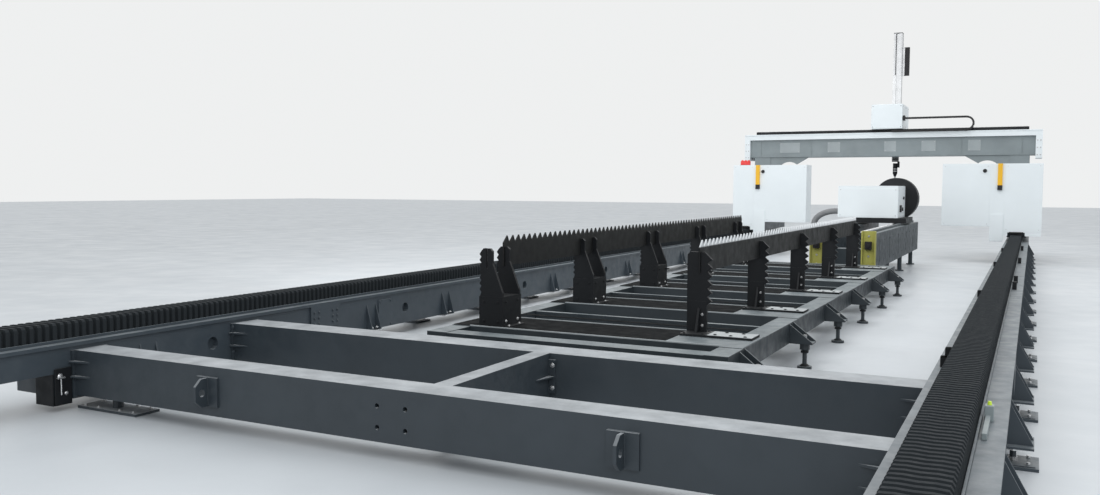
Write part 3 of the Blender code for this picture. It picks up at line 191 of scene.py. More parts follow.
def brushed(name, colour, rough=0.32, stretch=(1, 0.04, 1)):
    """Bare metal with fine lines."""
    m = Mat(name, colour, 0.9, rough)
    lines = m.noise(160, 3, 0.6, stretch)
    tone = m.ramp(m.noise(4, 4), 0.3, 0.75, 0, 1)
    m.colour(m.mix(tone, colour, tuple(c * 0.78 for c in colour)))
    m.rough(m.ramp(lines, 0.3, 0.7, rough - 0.08, rough + 0.16))
    m.bump(lines, 0.2, 0.0006)
    return m.mat


def rubbery(name, colour, rough=0.62, top_tint_amount=0.3, gloss=0.35):
    """Rubber, fabric or moulded plastic with a fine weave and a little dust."""
    m = Mat(name, colour, 0.0, rough, gloss)
    top = m.ramp(m.up(), 0.3, 0.95, 0, 1)
    patch = m.ramp(m.noise(5, 6, 0.6), 0.3, 0.7, 0.2, 1.0)
    amount = m.math("MULTIPLY", m.math("MULTIPLY", top, patch), top_tint_amount)
    m.colour(m.mix(amount, colour, (0.16, 0.16, 0.165)))
    weave = m.noise(420, 2, 0.5)
    m.bump(weave, 0.25, 0.0006)
    m.rough(m.ramp(m.noise(30, 3), 0.3, 0.7, rough - 0.1, rough + 0.12))
    return m.mat


GREY = (0.235, 0.275, 0.285)
PALE = (0.77, 0.82, 0.835)
M = {
    # The strong top tints of the beam and the bed are dust and painted sheen on their lit top faces
    "rail": painted("rail_paint", (0.041, 0.054, 0.066), dust=(0.40, 0.44, 0.46), top_tint_amount=0.4),
    "beam": painted("beam_paint", (0.031, 0.041, 0.050), dust=(0.50, 0.53, 0.55), top_tint_amount=0.75),
    "bed": painted("bed_paint", (0.023, 0.031, 0.037), dust=(0.42, 0.48, 0.50), top_tint_amount=0.45),
    "support": painted("support_paint", (0.009, 0.0105, 0.0125), top_tint_amount=0.06, rough=0.5, gloss=0.25),
    "channel": painted("channel_paint", (0.006, 0.007, 0.008), top_tint_amount=0.0, rough=0.8, gloss=0.06),
    "slat": painted("slat_paint", (0.017, 0.018, 0.018), top_tint_amount=0.0, rough=0.55, gloss=0.2),
    "tipped": painted("tipped_slat", (0.012, 0.0135, 0.014), top_tint_amount=0.0, rough=0.55, gloss=0.2,
                      tips=1.218),
    "grey": painted("grey_paint", GREY, top_tint_amount=0.2, rough=0.42),
    "bedgrey": painted("bed_grey_paint", (0.025, 0.037, 0.046), dust=(0.42, 0.47, 0.48), top_tint_amount=0.3),
    "pale": painted("pale_paint", PALE, dust=(0.7, 0.72, 0.72), top_tint_amount=0.2, rough=0.4, speck=0.02),
    "yellow": painted("yellow_paint", (0.33, 0.32, 0.07), top_tint_amount=0.1),
    "signal": painted("signal_yellow", (0.85, 0.47, 0.01), top_tint_amount=0.0, rough=0.4, speck=0.03),
    "red": painted("red_lens", (0.7, 0.015, 0.012), top_tint_amount=0.0, rough=0.25, speck=0.05),
    "worn": painted("worn_paint", (0.30, 0.33, 0.34), dust=(0.5, 0.52, 0.52), top_tint_amount=0.6, rough=0.42),
    "greylight": painted("light_grey_paint", (0.34, 0.38, 0.39), top_tint_amount=0.1, rough=0.42),
    "rubber": rubbery("moulded_rubber", (0.008, 0.008, 0.009), 0.6, 0.05),
    "lamp": painted("green_lamp", (0.55, 0.75, 0.05), top_tint_amount=0.0, rough=0.25),
    "steel": brushed("bare_steel", (0.55, 0.56, 0.57)),
    "bright": brushed("bright_steel", (0.75, 0.76, 0.77), 0.22),
    "bellows": rubbery("folded_fabric", (0.020, 0.024, 0.027), 0.8, 0.04, 0.12),
    "plastic": rubbery("chain_plastic", (0.014, 0.014, 0.015), 0.5, 0.1),
    "hose": rubbery("hose_plastic", (0.22, 0.225, 0.23), 0.5, 0.2),
}

FINISH = {
    "rail": ["left_rail", "right_rail", "left_truck", "right_truck"],
    "beam": ["front_crossbeam", "second_crossbeam", "left_lifting_lug", "right_lifting_lug", "link_beam"],
    "bed": ["support_bed"],
    "support": [f"{s}_support_{i}" for s in ("left", "right") for i in range(1, 6)]
    + ["chuck_saddle", "chuck", "top_strip", "head_turret", "nozzle"],
    "slat": ["left_slat"],
    "tipped": ["right_slat"],
    "grey": ["left_leg", "right_leg", "gantry_beam"],
    "bedgrey": ["chuck_bed"],
    "pale": ["headstock", "left_cover", "right_cover", "left_apron", "right_apron", "left_end_plate",
             "right_end_plate", "top_plate", "carriage"],
    "yellow": ["left_end_post", "right_end_post"],
    "signal": ["left_light_curtain", "right_light_curtain"],
    "red": ["beacon"],
    "steel": ["left_guide", "right_guide", "ram"] + [f"chuck_jaw_{i}" for i in range(1, 5)],
    "bellows": ["left_bellows", "right_bellows"],
    "plastic": ["ram_chain", "cross_chain"],
    "hose": ["hose"],
}
for key, names in FINISH.items():
    for n in names:
        for s in NODES[n].material_slots:
            s.material = M[key]


# Building helpers
def finish_piece(name, bm, mat, body, bevel=0.0, smooth=False, segments=2):
    """Turn a bmesh into a piece that rides on a CAD body."""
    bmesh.ops.recalc_face_normals(bm, faces=bm.faces)
    mesh = bpy.data.meshes.new(name)
    bm.to_mesh(mesh)
    bm.free()
    for polygon in mesh.polygons:
        polygon.use_smooth = smooth
    obj = bpy.data.objects.new(name, mesh)
    bpy.context.scene.collection.objects.link(obj)
    mesh.materials.append(M[mat])
    if bevel:
        mod = obj.modifiers.new("edges", "BEVEL")
        mod.width = bevel
        mod.segments = segments
        mod.limit_method = "ANGLE"
    if body:
        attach(obj, body)
    return obj


def box(bm, low, high):
    low, high = Vector(low), Vector(high)
    place = Matrix.Translation((low + high) / 2) @ Matrix.Diagonal((*(high - low), 1))
    bmesh.ops.create_cube(bm, size=1, matrix=place)


SIDE_NAME = {-1: "left", 1: "right"}
RAIL_TOP = 0.5256
AXES = {"x": Matrix.Rotation(pi / 2, 4, "Y"), "y": Matrix.Rotation(-pi / 2, 4, "X"), "z": Matrix.Identity(4)}


def disc(bm, centre, radius, length, axis="z", sides=16, tip=None):
    """Short round bar centred on a point."""
    bmesh.ops.create_cone(
        bm, cap_ends=True, segments=sides, radius1=radius, radius2=radius if tip is None else tip,
        depth=length, matrix=Matrix.Translation(centre) @ AXES[axis],
    )


def wedge(bm, outline, axis, start, end):
    """Prism of an outline, between two places along an axis."""
    place = {
        "x": lambda a, b, t: (t, a, b),
        "y": lambda a, b, t: (a, t, b),
        "z": lambda a, b, t: (a, b, t),
    }[axis]
    near = [bm.verts.new(place(a, b, start)) for a, b in outline]
    far = [bm.verts.new(place(a, b, end)) for a, b in outline]
    bm.faces.new(near)
    bm.faces.new(list(reversed(far)))
    for i in range(len(outline)):
        j = (i + 1) % len(outline)
        bm.faces.new((near[i], far[i], far[j], near[j]))


def bolt(bm, centre, radius, axis, way=1, height=0.55):
    """Washer, hexagon head and a stub, standing on a face."""
    c = Vector(centre)
    step = {"x": Vector((way, 0, 0)), "y": Vector((0, way, 0)), "z": Vector((0, 0, way))}[axis]
    disc(bm, c + step * radius * 0.1, radius * 1.35, radius * 0.2, axis, 20)
    disc(bm, c + step * radius * (0.2 + height / 2), radius, radius * height, axis, 6)
    disc(bm, c + step * radius * (0.2 + height + 0.12), radius * 0.5, radius * 0.24, axis, 14)


def bolts(name, places, radius, axis, way, mat, body):
    bm = bmesh.new()
    for p in places:
        bolt(bm, p, radius, axis, way)
    return finish_piece(name, bm, mat, body, bevel=radius * 0.06, segments=1)


# Folded covers of the rails, one fold every 63 mm
FRONT, END = -12.68, 9.2997
RAIL_MID = 3.255
FOLD_PITCH = 0.0634
CROWN_DIP = 0.0024


def bellows(side):
    folds = round((END - FRONT) / FOLD_PITCH)
    pitch = (END - FRONT) / folds
    low, high, half = 0.5256, 0.6795, 0.1247
    inset = 0.024
    bm = bmesh.new()
    profile = ((0.0, 1), (0.10, 0), (0.20, 0), (0.55, 0), (0.64, 0.15), (0.74, 1), (0.9, 1.12))
    loops = []
    for i in range(folds):
        for t, deep in profile:
            y = FRONT + (i + t) * pitch
            out, top = half - inset * deep, high - inset * deep
            ring = [
                (-out, low), (-out, top - 0.02), (-out + 0.012, top - 0.003), (-out * 0.5, top),
                (0, top - CROWN_DIP),
                (out * 0.5, top), (out - 0.012, top - 0.003), (out, top - 0.02), (out, low),
            ]
            loops.append([bm.verts.new((side * RAIL_MID + x, y, z)) for x, z in ring])
    loops.append([bm.verts.new((v.co.x, END, v.co.z)) for v in loops[0]])
    for near, far in zip(loops, loops[1:]):
        for k in range(len(near) - 1):
            bm.faces.new((near[k], far[k], far[k + 1], near[k + 1]))
        bm.faces.new((near[-1], far[-1], far[0], near[0]))
    bm.faces.new(loops[0])
    bm.faces.new(list(reversed(loops[-1])))
    s = SIDE_NAME[side]
    obj = finish_piece(f"{s}_bellows_folds", bm, "bellows", "base")
    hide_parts(f"{s}_bellows")
    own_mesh(obj)


for side in (-1, 1):
    bellows(side)


# End caps and side lips that hold the folded covers
def cover_lips(side):
    s = SIDE_NAME[side]
    mid = side * RAIL_MID
    bm = bmesh.new()
    for x in (-0.1405, 0.1275):
        box(bm, (mid + x, FRONT, RAIL_TOP), (mid + x + 0.013, 12.66, 0.548))
    finish_piece(f"{s}_cover_channel", bm, "rail", "base", bevel=0.002)
    bm = bmesh.new()
    box(bm, (mid - 0.135, -12.70, RAIL_TOP), (mid + 0.135, -12.682, 0.69))
    box(bm, (mid - 0.05, -12.76, RAIL_TOP), (mid + 0.05, -12.70, 0.60))
    finish_piece(f"{s}_cover_front_plate", bm, "rail", "base", bevel=0.004)
    bm = bmesh.new()
    for x in (-0.1, 0.1):
        for z in (0.56, 0.65):
            bolt(bm, (mid + x, -12.70, z), 0.009, "y", -1)
    finish_piece(f"{s}_cover_front_screws", bm, "bright", "base")


for side in (-1, 1):
    cover_lips(side)

# Rails: nuts and shims on the feet, splice bolts, pads and nuts on the inner feet
LEFT_FEET = [-10.47 + 1.52 * i for i in range(16)]
RIGHT_FEET = [-10.76 + 1.41 * i for i in range(16)]


def rail_hardware(side):
    s = "right" if side > 0 else "left"
    feet = RIGHT_FEET if side > 0 else LEFT_FEET
    nuts, plates = bmesh.new(), bmesh.new()
    x = side * 3.535
    for y in feet:
        if y > 12.6:
            continue
        disc(nuts, (x, y, 0.155), 0.036, 0.022, "z", 6)
        disc(nuts, (x, y, 0.178), 0.018, 0.05, "z", 14)
        disc(nuts, (x, y, 0.105), 0.036, 0.03, "z", 6)
        disc(nuts, (x, y, 0.036), 0.03, 0.03, "z", 6)
        box(plates, (x - 0.13, y - 0.13, 0.0202), (x + 0.13, y + 0.13, 0.026))
        for dx in (-0.09, 0.09):
            for dy in (-0.09, 0.09):
                disc(nuts, (x + dx, y + dy, 0.034), 0.014, 0.016, "z", 6)
    finish_piece(f"{s}_foot_nuts", nuts, "bright", "base", bevel=0.0015, segments=1)
    finish_piece(f"{s}_foot_shims", plates, "rail", "base", bevel=0.002)
    splice = bmesh.new()
    for i in range(4):
        mid = -8.225 + 6.4 * i
        for dy in (-0.18, -0.11, 0.11, 0.18):
            for z in (0.31, 0.37, 0.43):
                bolt(splice, (side * 3.03, mid + dy, z), 0.014, "x", -side)
    finish_piece(f"{s}_splice_bolts", splice, "rail", "base", bevel=0.001, segments=1)
    # The crossbeams' ends take the room of the front inner feet
    pads, inner_nuts = bmesh.new(), bmesh.new()
    for y in feet:
        if y < 12.6 and not -10.9 < y < -8.6:
            box(pads, (side * 3.045 - 0.057, y - 0.11, 0.118), (side * 3.045 + 0.057, y + 0.11, 0.1295))
            for dy in (-0.045, 0.045):
                bolt(inner_nuts, (side * 3.01, y + dy, 0.1535), 0.016, "z", 1)
    finish_piece(f"{s}_inner_foot_pads", pads, "bright", "base", bevel=0.003)
    finish_piece(f"{s}_inner_foot_nuts", inner_nuts, "bright", "base", bevel=0.001, segments=1)


for side in (-1, 1):
    rail_hardware(side)

# Small closing plate with four corner screws on the left rail
bm = bmesh.new()
box(bm, (-3.0498, -7.31, 0.134), (-3.038, -7.06, 0.453))
finish_piece("left_rail_closing_plate", bm, "rail", "base", bevel=0.003)
corners = [(-3.038, y, z) for y in (-7.285, -7.085) for z in (0.16, 0.427)]
bolts("left_closing_plate_screws", corners, 0.011, "x", 1, "rail", "base")

# Dark nose bracket with its chrome clamp under the left rail's front end
for side, s in SIDE_NAME.items():
    bm = bmesh.new()
    x0, x1 = sorted((side * 3.046, side * 3.252))
    box(bm, (x0, -11.343, 0.05), (x1, -11.199, 0.128))
    box(bm, (min(side * 3.034, side * 3.046), -11.343, 0.052), (max(side * 3.034, side * 3.046), -11.2, 0.34))
    box(bm, (x0, -11.356, 0.05), (x1, -11.343, 0.298))
    finish_piece(f"{s}_nose_bracket", bm, "support", "base", bevel=0.004)
    bm = bmesh.new()
    bolt(bm, (side * 3.034, -11.30, 0.28), 0.017, "x", -side)
    disc(bm, (side * 3.022, -11.30, 0.2), 0.006, 0.13, "z", 12)
    box(bm, (min(side * 3.012, side * 3.033), -11.33, 0.262), (max(side * 3.012, side * 3.033), -11.27, 0.275))
    bolt(bm, (side * 3.034, -11.25, 0.14), 0.012, "x", -side)
    finish_piece(f"{s}_nose_clamp", bm, "bright", "base", bevel=0.001)

# Crossbeams: bolts on the end plates and nuts on the floor plates
bm = bmesh.new()
for side in (-1, 1):
    for z in (0.2, 0.36, 0.43):
        bolt(bm, (side * 3.0297, -9.533, z), 0.013, "x", -side)
        bolt(bm, (side * 3.0297, -9.208, z), 0.013, "x", -side)
finish_piece("crossbeam_end_bolts", bm, "rail", "base", bevel=0.001, segments=1)
bm = bmesh.new()
for side in (-1, 1):
    for dx in (-0.27, -0.12, 0.12, 0.27):
        for dy in (-0.08, 0.08):
            bolt(bm, (side * 2.7197 + dx, -11.035 + dy, 0.0202), 0.015, "z", 1)
finish_piece("beam_foot_bolts", bm, "steel", "base", bevel=0.001, segments=1)


def close_rings(bm, rings):
    """Skin between rings of points, with both ends capped."""
    count = len(rings[0])
    for near, far in zip(rings, rings[1:]):
        for k in range(count):
            bm.faces.new((near[k], near[(k + 1) % count], far[(k + 1) % count], far[k]))
    bm.faces.new(rings[0])
    bm.faces.new(list(reversed(rings[-1])))


def bead(name, a, b, radius, mat, body):
    """Rippled weld bead along a line."""
    a, b = Vector(a), Vector(b)
    length = (b - a).length
    steps = max(8, int(length / 0.007))
    bm = bmesh.new()
    along = (b - a).normalized()
    across = along.orthogonal().normalized()
    up = along.cross(across)
    rings = []
    for i in range(steps + 1):
        c = a + (b - a) * i / steps
        r = radius * (1.0 if i % 2 else 0.82)
        around = [across * cos(k * pi / 3) + up * sin(k * pi / 3) for k in range(6)]
        rings.append([bm.verts.new(c + way * r) for way in around])
    close_rings(bm, rings)
    finish_piece(name, bm, mat, body, smooth=True)


for side, s in SIDE_NAME.items():
    x = side * 1.6
    ear_y, plate_y, bead_radius = -11.1865, -11.1715, 0.004
    for k, dx in enumerate((-0.013, 0.013)):
        ends = (x + dx, ear_y, 0.19), (x + dx, ear_y, 0.38)
        bead(f"{s}_lug_ear_weld_{k + 1}", *ends, bead_radius, "beam", "base")
    for place, z in (("top", 0.3905), ("low", 0.1795)):
        ends = (x - 0.098, plate_y, z), (x + 0.098, plate_y, z)
        bead(f"{s}_lug_weld_{place}", *ends, bead_radius, "beam", "base")

# Link beam's end plate bolts and its rib
bm = bmesh.new()
for x in (0.115, 0.325):
    for z in (0.2, 0.375):
        bolt(bm, (x, -9.541, z), 0.014, "y", -1)
        bolt(bm, (x, -10.879, z), 0.014, "y", 1)
finish_piece("link_beam_bolts", bm, "bright", "base", bevel=0.001, segments=1)
bm = bmesh.new()
wedge(bm, [(0.291, -9.545), (0.345, -9.545), (0.291, -9.75)], "z", 0.28, 0.292)
wedge(bm, [(0.149, -9.545), (0.095, -9.545), (0.149, -9.75)], "z", 0.28, 0.292)
finish_piece("link_beam_ribs", bm, "beam", "base", bevel=0.002)

# Support bed: black channel tops with worn lips, nuts and seats on the feet
STATIONS = [-8.135 + 2.03 * i for i in range(5)]
bm, lips = bmesh.new(), bmesh.new()
for y in STATIONS:
    box(bm, (-1.07, y - 0.338, 0.4462), (0.835, y + 0.338, 0.4495))
    for e in (-0.35, 0.338):
        box(lips, (-1.08, y + e, 0.4462), (1.33, y + e + 0.012, 0.4575))
    box(bm, (-1.08, y + 0.62, 0.4395), (1.326, y + 0.70, 0.4425))
    box(bm, (-1.27, y - 0.334, 0.4462), (-1.075, y + 0.334, 0.452))
finish_piece("channel_tops", bm, "channel", "base", bevel=0.001, segments=1)
finish_piece("channel_lips", lips, "worn", "base", bevel=0.001, segments=1)
bm, dark = bmesh.new(), bmesh.new()
for i in range(6):
    y = -8.5 + 1.76 * i
    for x, way in ((1.662, 1), (-1.412, -1)):
        disc(bm, (x, y, 0.262 + 0.013), 0.034, 0.026, "z", 6)
        disc(bm, (x, y, 0.30), 0.019, 0.06, "z", 14)
        disc(dark, (x, y, 0.034), 0.05, 0.02, "z", 20, 0.03)
        disc(dark, (x, y, 0.165), 0.04, 0.022, "z", 6)
finish_piece("bed_foot_nuts", bm, "steel", "base", bevel=0.001, segments=1)
finish_piece("bed_foot_seats", dark, "support", "base", bevel=0.001, segments=1)

# Toothed supports: bolted bases, adjusting screws and slotted base plates
bm, dark, worn, holes = bmesh.new(), bmesh.new(), bmesh.new(), bmesh.new()
for i in range(5):
    y = -7.87 + 2.03 * i
    plate_top = 0.4665
    for dx in (0.03, 0.2):
        for dy in (-0.18, 0.02):
            bolt(dark, (0.845 + dx, y + dy, plate_top), 0.011, "z", 1)
    box(worn, (1.092, y - 0.207, plate_top), (1.492, y + 0.047, plate_top + 0.0015))
    for dx, dy in ((0.31, -0.16), (0.37, 0.0), (0.45, -0.16), (0.52, 0.0), (0.58, -0.17)):
        disc(holes, (0.845 + dx, y + dy, plate_top + 0.003), 0.017, 0.004, "z", 16)
        disc(holes, (0.845 + dx, y + dy, plate_top + 0.006), 0.010, 0.006, "z", 6)
    box(dark, (0.87, y - 0.02, plate_top), (1.03, y - 0.0155, 0.74))
    for z in (0.52, 0.62):
        bolt(bm, (0.99, y - 0.0205, z), 0.010, "y", -1)
finish_piece("right_support_bolts", dark, "support", "base", bevel=0.001, segments=1)
finish_piece("right_base_plates", worn, "worn", "base")
finish_piece("right_base_screws", holes, "support", "base", bevel=0.0006, segments=1)
finish_piece("right_support_screws", bm, "steel", "base", bevel=0.001, segments=1)

bm, dark = bmesh.new(), bmesh.new()
for i in range(5):
    y = -8.27 + 2.03 * i
    for dy in (-0.11, 0.11):
        bolt(bm, (-0.7497, y + dy, 0.50), 0.012, "x", 1)
        bolt(dark, (-0.7497, y + dy, 0.68), 0.010, "x", 1)
    for x in (-0.95, -0.80):
        bolt(dark, (x, y - 0.1803, 0.50), 0.011, "y", -1)
        bolt(dark, (x, y - 0.1803, 0.68), 0.011, "y", -1)
    box(dark, (-0.7497, y - 0.15, 0.4465), (-0.70, y + 0.15, 0.458))
    bolt(bm, (-0.725, y - 0.1, 0.458), 0.011, "z", 1)
    bolt(bm, (-0.725, y + 0.1, 0.458), 0.011, "z", 1)
finish_piece("left_support_screws", bm, "bright", "base", bevel=0.001, segments=1)
finish_piece("left_support_brackets", dark, "support", "base", bevel=0.001, segments=1)

# Chuck bed: stop blocks on the yellow posts, side plates, screws, gear rack
bm, plates, yellow = bmesh.new(), bmesh.new(), bmesh.new()
for left in (0.08, 0.96):
    mid = left + 0.12
    box(bm, (mid - 0.055, 0.975, 0.70), (mid + 0.055, 1.0595, 0.84))
    disc(bm, (mid, 0.965, 0.77), 0.035, 0.03, "y", 20, 0.028)
    for x in (left, left + 0.216):
        box(yellow, (x, 1.02, 0.352), (x + 0.024, 1.0597, 1.018))
    for z in (0.42, 0.58, 0.93):
        bolt(plates, (mid, 1.0597, z), 0.014, "y", -1)
finish_piece("post_stop_blocks", bm, "rubber", "base", bevel=0.006)
finish_piece("post_side_flanges", yellow, "yellow", "base", bevel=0.003)
finish_piece("post_bolts", plates, "steel", "base", bevel=0.001, segments=1)
bm = bmesh.new()
for k in range(5):
    y = 1.5 + 1.3 * k
    box(bm, (1.2002, y, 0.45), (1.2027, y + 0.62, 0.86))
    for dy in (0.03, 0.59):
        for z in (0.48, 0.83):
            bolt(bm, (1.2027, y + dy, z), 0.007, "x", 1)
finish_piece("chuck_bed_side_plates", bm, "bedgrey", "base", bevel=0.002)
bm = bmesh.new()
for k in range(190):
    y = 1.25 + 0.033 * k
    wedge(bm, [(y, 0.985), (y + 0.022, 0.985), (y + 0.015, 1.004), (y + 0.007, 1.004)], "x", 0.905, 0.935)
box(bm, (0.905, 1.25, 0.9803), (0.935, 1.25 + 0.033 * 190, 0.986))
finish_piece("chuck_bed_gear_rack", bm, "steel", "base")

# Headstock: panels, their screws and side fittings
bm, dark, screws = bmesh.new(), bmesh.new(), bmesh.new()
x0, x1, y0, y1, z0, z1 = -0.21, 1.03, 5.3, 6.54, 1.131, 1.811
box(bm, (x0 + 0.015, y0 - 0.004, z0 + 0.02), (x1 - 0.015, y0 - 0.0003, z1 - 0.05))
box(bm, (x1 + 0.0003, y0 + 0.03, z0 + 0.03), (x1 + 0.005, y1 - 0.05, z1 - 0.06))
box(bm, (x0 - 0.005, y0 + 0.05, z0 + 0.2), (x0 - 0.0003, y1 - 0.05, z1 - 0.06))
box(bm, (x0 + 0.015, y0 + 0.02, z1 + 0.0003), (x1 - 0.015, y1 - 0.02, z1 + 0.005))
finish_piece("headstock_panels", bm, "pale", "headstock_unit", bevel=0.003)
for x in (x0 + 0.05, x1 - 0.05):
    for z in (z0 + 0.05, z1 - 0.08):
        disc(screws, (x, y0 - 0.006, z), 0.009, 0.005, "y", 12)
for y in (y0 + 0.08, y1 - 0.1):
    for z in (z0 + 0.06, z1 - 0.1):
        disc(screws, (x1 + 0.007, y, z), 0.01, 0.006, "x", 12)
finish_piece("headstock_screws", screws, "steel", "headstock_unit")
box(dark, (x1 + 0.001, y0 + 0.25, z0 + 0.12), (x1 + 0.035, y0 + 0.42, z0 + 0.27))
disc(dark, (x1 + 0.02, y0 + 0.62, z0 + 0.18), 0.04, 0.035, "x", 20)
disc(dark, (x1 + 0.02, y0 + 0.82, z0 + 0.42), 0.03, 0.03, "x", 20)
finish_piece("headstock_fittings", dark, "plastic", "headstock_unit", bevel=0.003)

# Chuck: bright rim ring, bolts, and the jaws' screws and teeth
CHUCK_X, CHUCK_Z = 0.83, 1.53
bm = bmesh.new()
ring_y, rim = 6.8803, 0.462
segments = 96
loops = []
angles = [2 * pi * k / segments for k in range(segments)]
for dr, dy in ((0.0, 0.0), (0.0075, -0.004), (0.0075, -0.02), (-0.012, -0.02), (-0.012, 0.0)):
    r = rim + dr
    loops.append([bm.verts.new((CHUCK_X + r * cos(a), ring_y + dy, CHUCK_Z + r * sin(a))) for a in angles])
for a, b in zip(loops, loops[1:] + loops[:1]):
    for k in range(segments):
        j = (k + 1) % segments
        bm.faces.new((a[k], b[k], b[j], a[j]))
finish_piece("chuck_rim", bm, "bright", "chuck_body")
bm = bmesh.new()
for k in range(12):
    a = 2 * pi * (k + 0.5) / 12
    c = (CHUCK_X + 0.37 * cos(a), 6.8305, CHUCK_Z + 0.37 * sin(a))
    disc(bm, (c[0], c[1] + 0.006, c[2]), 0.018, 0.012, "y", 20)
    disc(bm, (c[0], c[1] + 0.0125, c[2]), 0.009, 0.004, "y", 6)
finish_piece("chuck_bolts", bm, "steel", "chuck_body", bevel=0.001, segments=1)
bm = bmesh.new()
for k in range(24):
    a = 2 * pi * k / 24
    disc(bm, (CHUCK_X + 0.435 * cos(a), 6.541, CHUCK_Z + 0.435 * sin(a)), 0.011, 0.004, "y", 12)
finish_piece("chuck_back_screws", bm, "support", "chuck_body")
for name, s1 in (("jaw_a", (1, 0)), ("jaw_b", (0, -1)), ("jaw_c", (-1, 0)), ("jaw_d", (0, 1))):
    bm = bmesh.new()
    for r in (0.27, 0.305):
        c = (CHUCK_X + r * s1[0], 6.8835, CHUCK_Z + r * s1[1])
        disc(bm, c, 0.011, 0.006, "y", 14)
    finish_piece(f"{name}_screws", bm, "bright", name, bevel=0.001, segments=1)
    bm = bmesh.new()
    for t in range(5):
        lo = Vector((CHUCK_X, 6.852, CHUCK_Z)) + Vector((s1[0], 0, s1[1])) * 0.1645
        across = Vector((s1[1], 0, -s1[0]))
        c = lo + across * (-0.03 + 0.015 * t) + Vector((0, 0.03, 0))
        disc(bm, c, 0.006, 0.07, "y", 8)
    finish_piece(f"{name}_teeth", bm, "steel", name)

# Ribbed hose in front of the headstock
hose_bm = bmesh.new()
top, low = 1.258, 0.5705
start_x, end_x, mid_y = -0.2103, 0.0797, 5.48
across, sides = Vector((0, 1, 0)), 20
count = 84
spine = []
for i in range(count + 1):
    t = i / count
    x = start_x + (end_x - start_x) * t - 0.06 - 0.62 * sin(pi * t)
    spine.append(Vector((x, mid_y, top - (top - low) * (1 - cos(pi * t)) / 2)))
spine = [Vector((start_x, mid_y, top))] + spine + [Vector((end_x, mid_y, low))]
rings = []
for i, p in enumerate(spine):
    along = (spine[min(i + 1, len(spine) - 1)] - spine[max(i - 1, 0)]).normalized()
    up = along.cross(across).normalized()
    around = [up * cos(2 * pi * k / sides) + across * sin(2 * pi * k / sides) for k in range(sides)]
    for r, shift in ((0.058, -0.006), (0.066, -0.003), (0.066, 0.003), (0.058, 0.006)):
        rings.append([hose_bm.verts.new(p + along * shift + way * r) for way in around])
close_rings(hose_bm, rings)
hose_obj = finish_piece("ribbed_hose", hose_bm, "hose", None, smooth=True)
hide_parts("hose")
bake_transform(hose_obj)

# Gantry covers: seams, knobs, light-curtain ends, inner lining and screws
COVER_Y = 8.7
for side, s in SIDE_NAME.items():
    outer = 3.78 if side > 0 else 3.54
    bm, dark, screws = bmesh.new(), bmesh.new(), bmesh.new()
    f = COVER_Y

    def span(a, b):
        return (min(side * a, side * b), max(side * a, side * b))

    a, b = span(1.63, 2.67)
    box(bm, (a, f - 0.004, 0.883), (b, f - 0.0002, 2.35))
    a, b = span(2.99, outer - 0.01)
    box(bm, (a, f - 0.004, 0.76), (b, f - 0.0002, 2.35))
    finish_piece(f"{s}_cover_panels", bm, "pale", "gantry", bevel=0.002)
    inner_corners = [(x, z) for x in (1.68, 2.62) for z in (0.93, 2.3)]
    for x, z in inner_corners + [(x, z) for z in (2.3, 0.81) for x in (3.04, outer - 0.06)]:
        disc(screws, (side * x, f - 0.0065, z), 0.008, 0.005, "y", 12)
    finish_piece(f"{s}_cover_screws", screws, "steel", "gantry")
    knob_x = -2.75 if side < 0 else 2.55
    disc(dark, (knob_x, f - 0.012, 2.19), 0.045, 0.016, "y", 24)
    disc(dark, (knob_x, f - 0.035, 2.19), 0.028, 0.035, "y", 24, 0.024)
    finish_piece(f"{s}_cover_knob", dark, "plastic", "gantry", bevel=0.003)
    ends = bmesh.new()
    cx = side * 2.88
    box(ends, (cx - 0.052, f - 0.054, 1.735), (cx + 0.052, f - 0.0008, 1.85))
    finish_piece(f"{s}_curtain_ends", ends, "plastic", "gantry", bevel=0.004)
    lens = bmesh.new()
    box(lens, (cx - 0.02, f - 0.0525, 1.87), (cx + 0.02, f - 0.0498, 2.32))
    finish_piece(f"{s}_curtain_lens", lens, "signal", "gantry", bevel=0.001)
    brush = bmesh.new()
    a, b = span(3.135, 3.375)
    for k in range(60):
        x = a + (b - a) * (k + 0.5) / 60
        box(brush, (x - 0.0016, f - 0.003, 0.70), (x + 0.0016, f + 0.003, 0.742))
    box(brush, (a - 0.03, f - 0.01, 0.732), (b + 0.03, f + 0.01, 0.752))
    finish_piece(f"{s}_cover_brush", brush, "rubber", "gantry")
    lining = bmesh.new()
    a, b = span(1.66, outer - 0.04)
    box(lining, (a, 8.735, 0.9), (b, 8.75, 2.30))
    finish_piece(f"{s}_cover_lining", lining, "support", "gantry", bevel=0.004)
    apron_seam = bmesh.new()
    a, b = span(2.69, 2.97)
    box(apron_seam, (a, f - 0.0165, 0.53), (b, f - 0.0128, 1.16))
    finish_piece(f"{s}_apron_face", apron_seam, "pale", "gantry", bevel=0.002)

bm = bmesh.new()
for k in range(3):
    x = -3.385 + 0.085 * k
    disc(bm, (x, 9.0, 2.475), 0.036, 0.012, "z", 20)
    disc(bm, (x, 9.0, 2.49), 0.034, 0.022, "z", 20, 0.02)
finish_piece("beacon_lenses", bm, "red", "gantry", bevel=0.002)
bm = bmesh.new()
box(bm, (-3.43, 8.935, 2.3602), (-3.17, 9.065, 2.372))
finish_piece("beacon_base", bm, "plastic", "gantry", bevel=0.002)

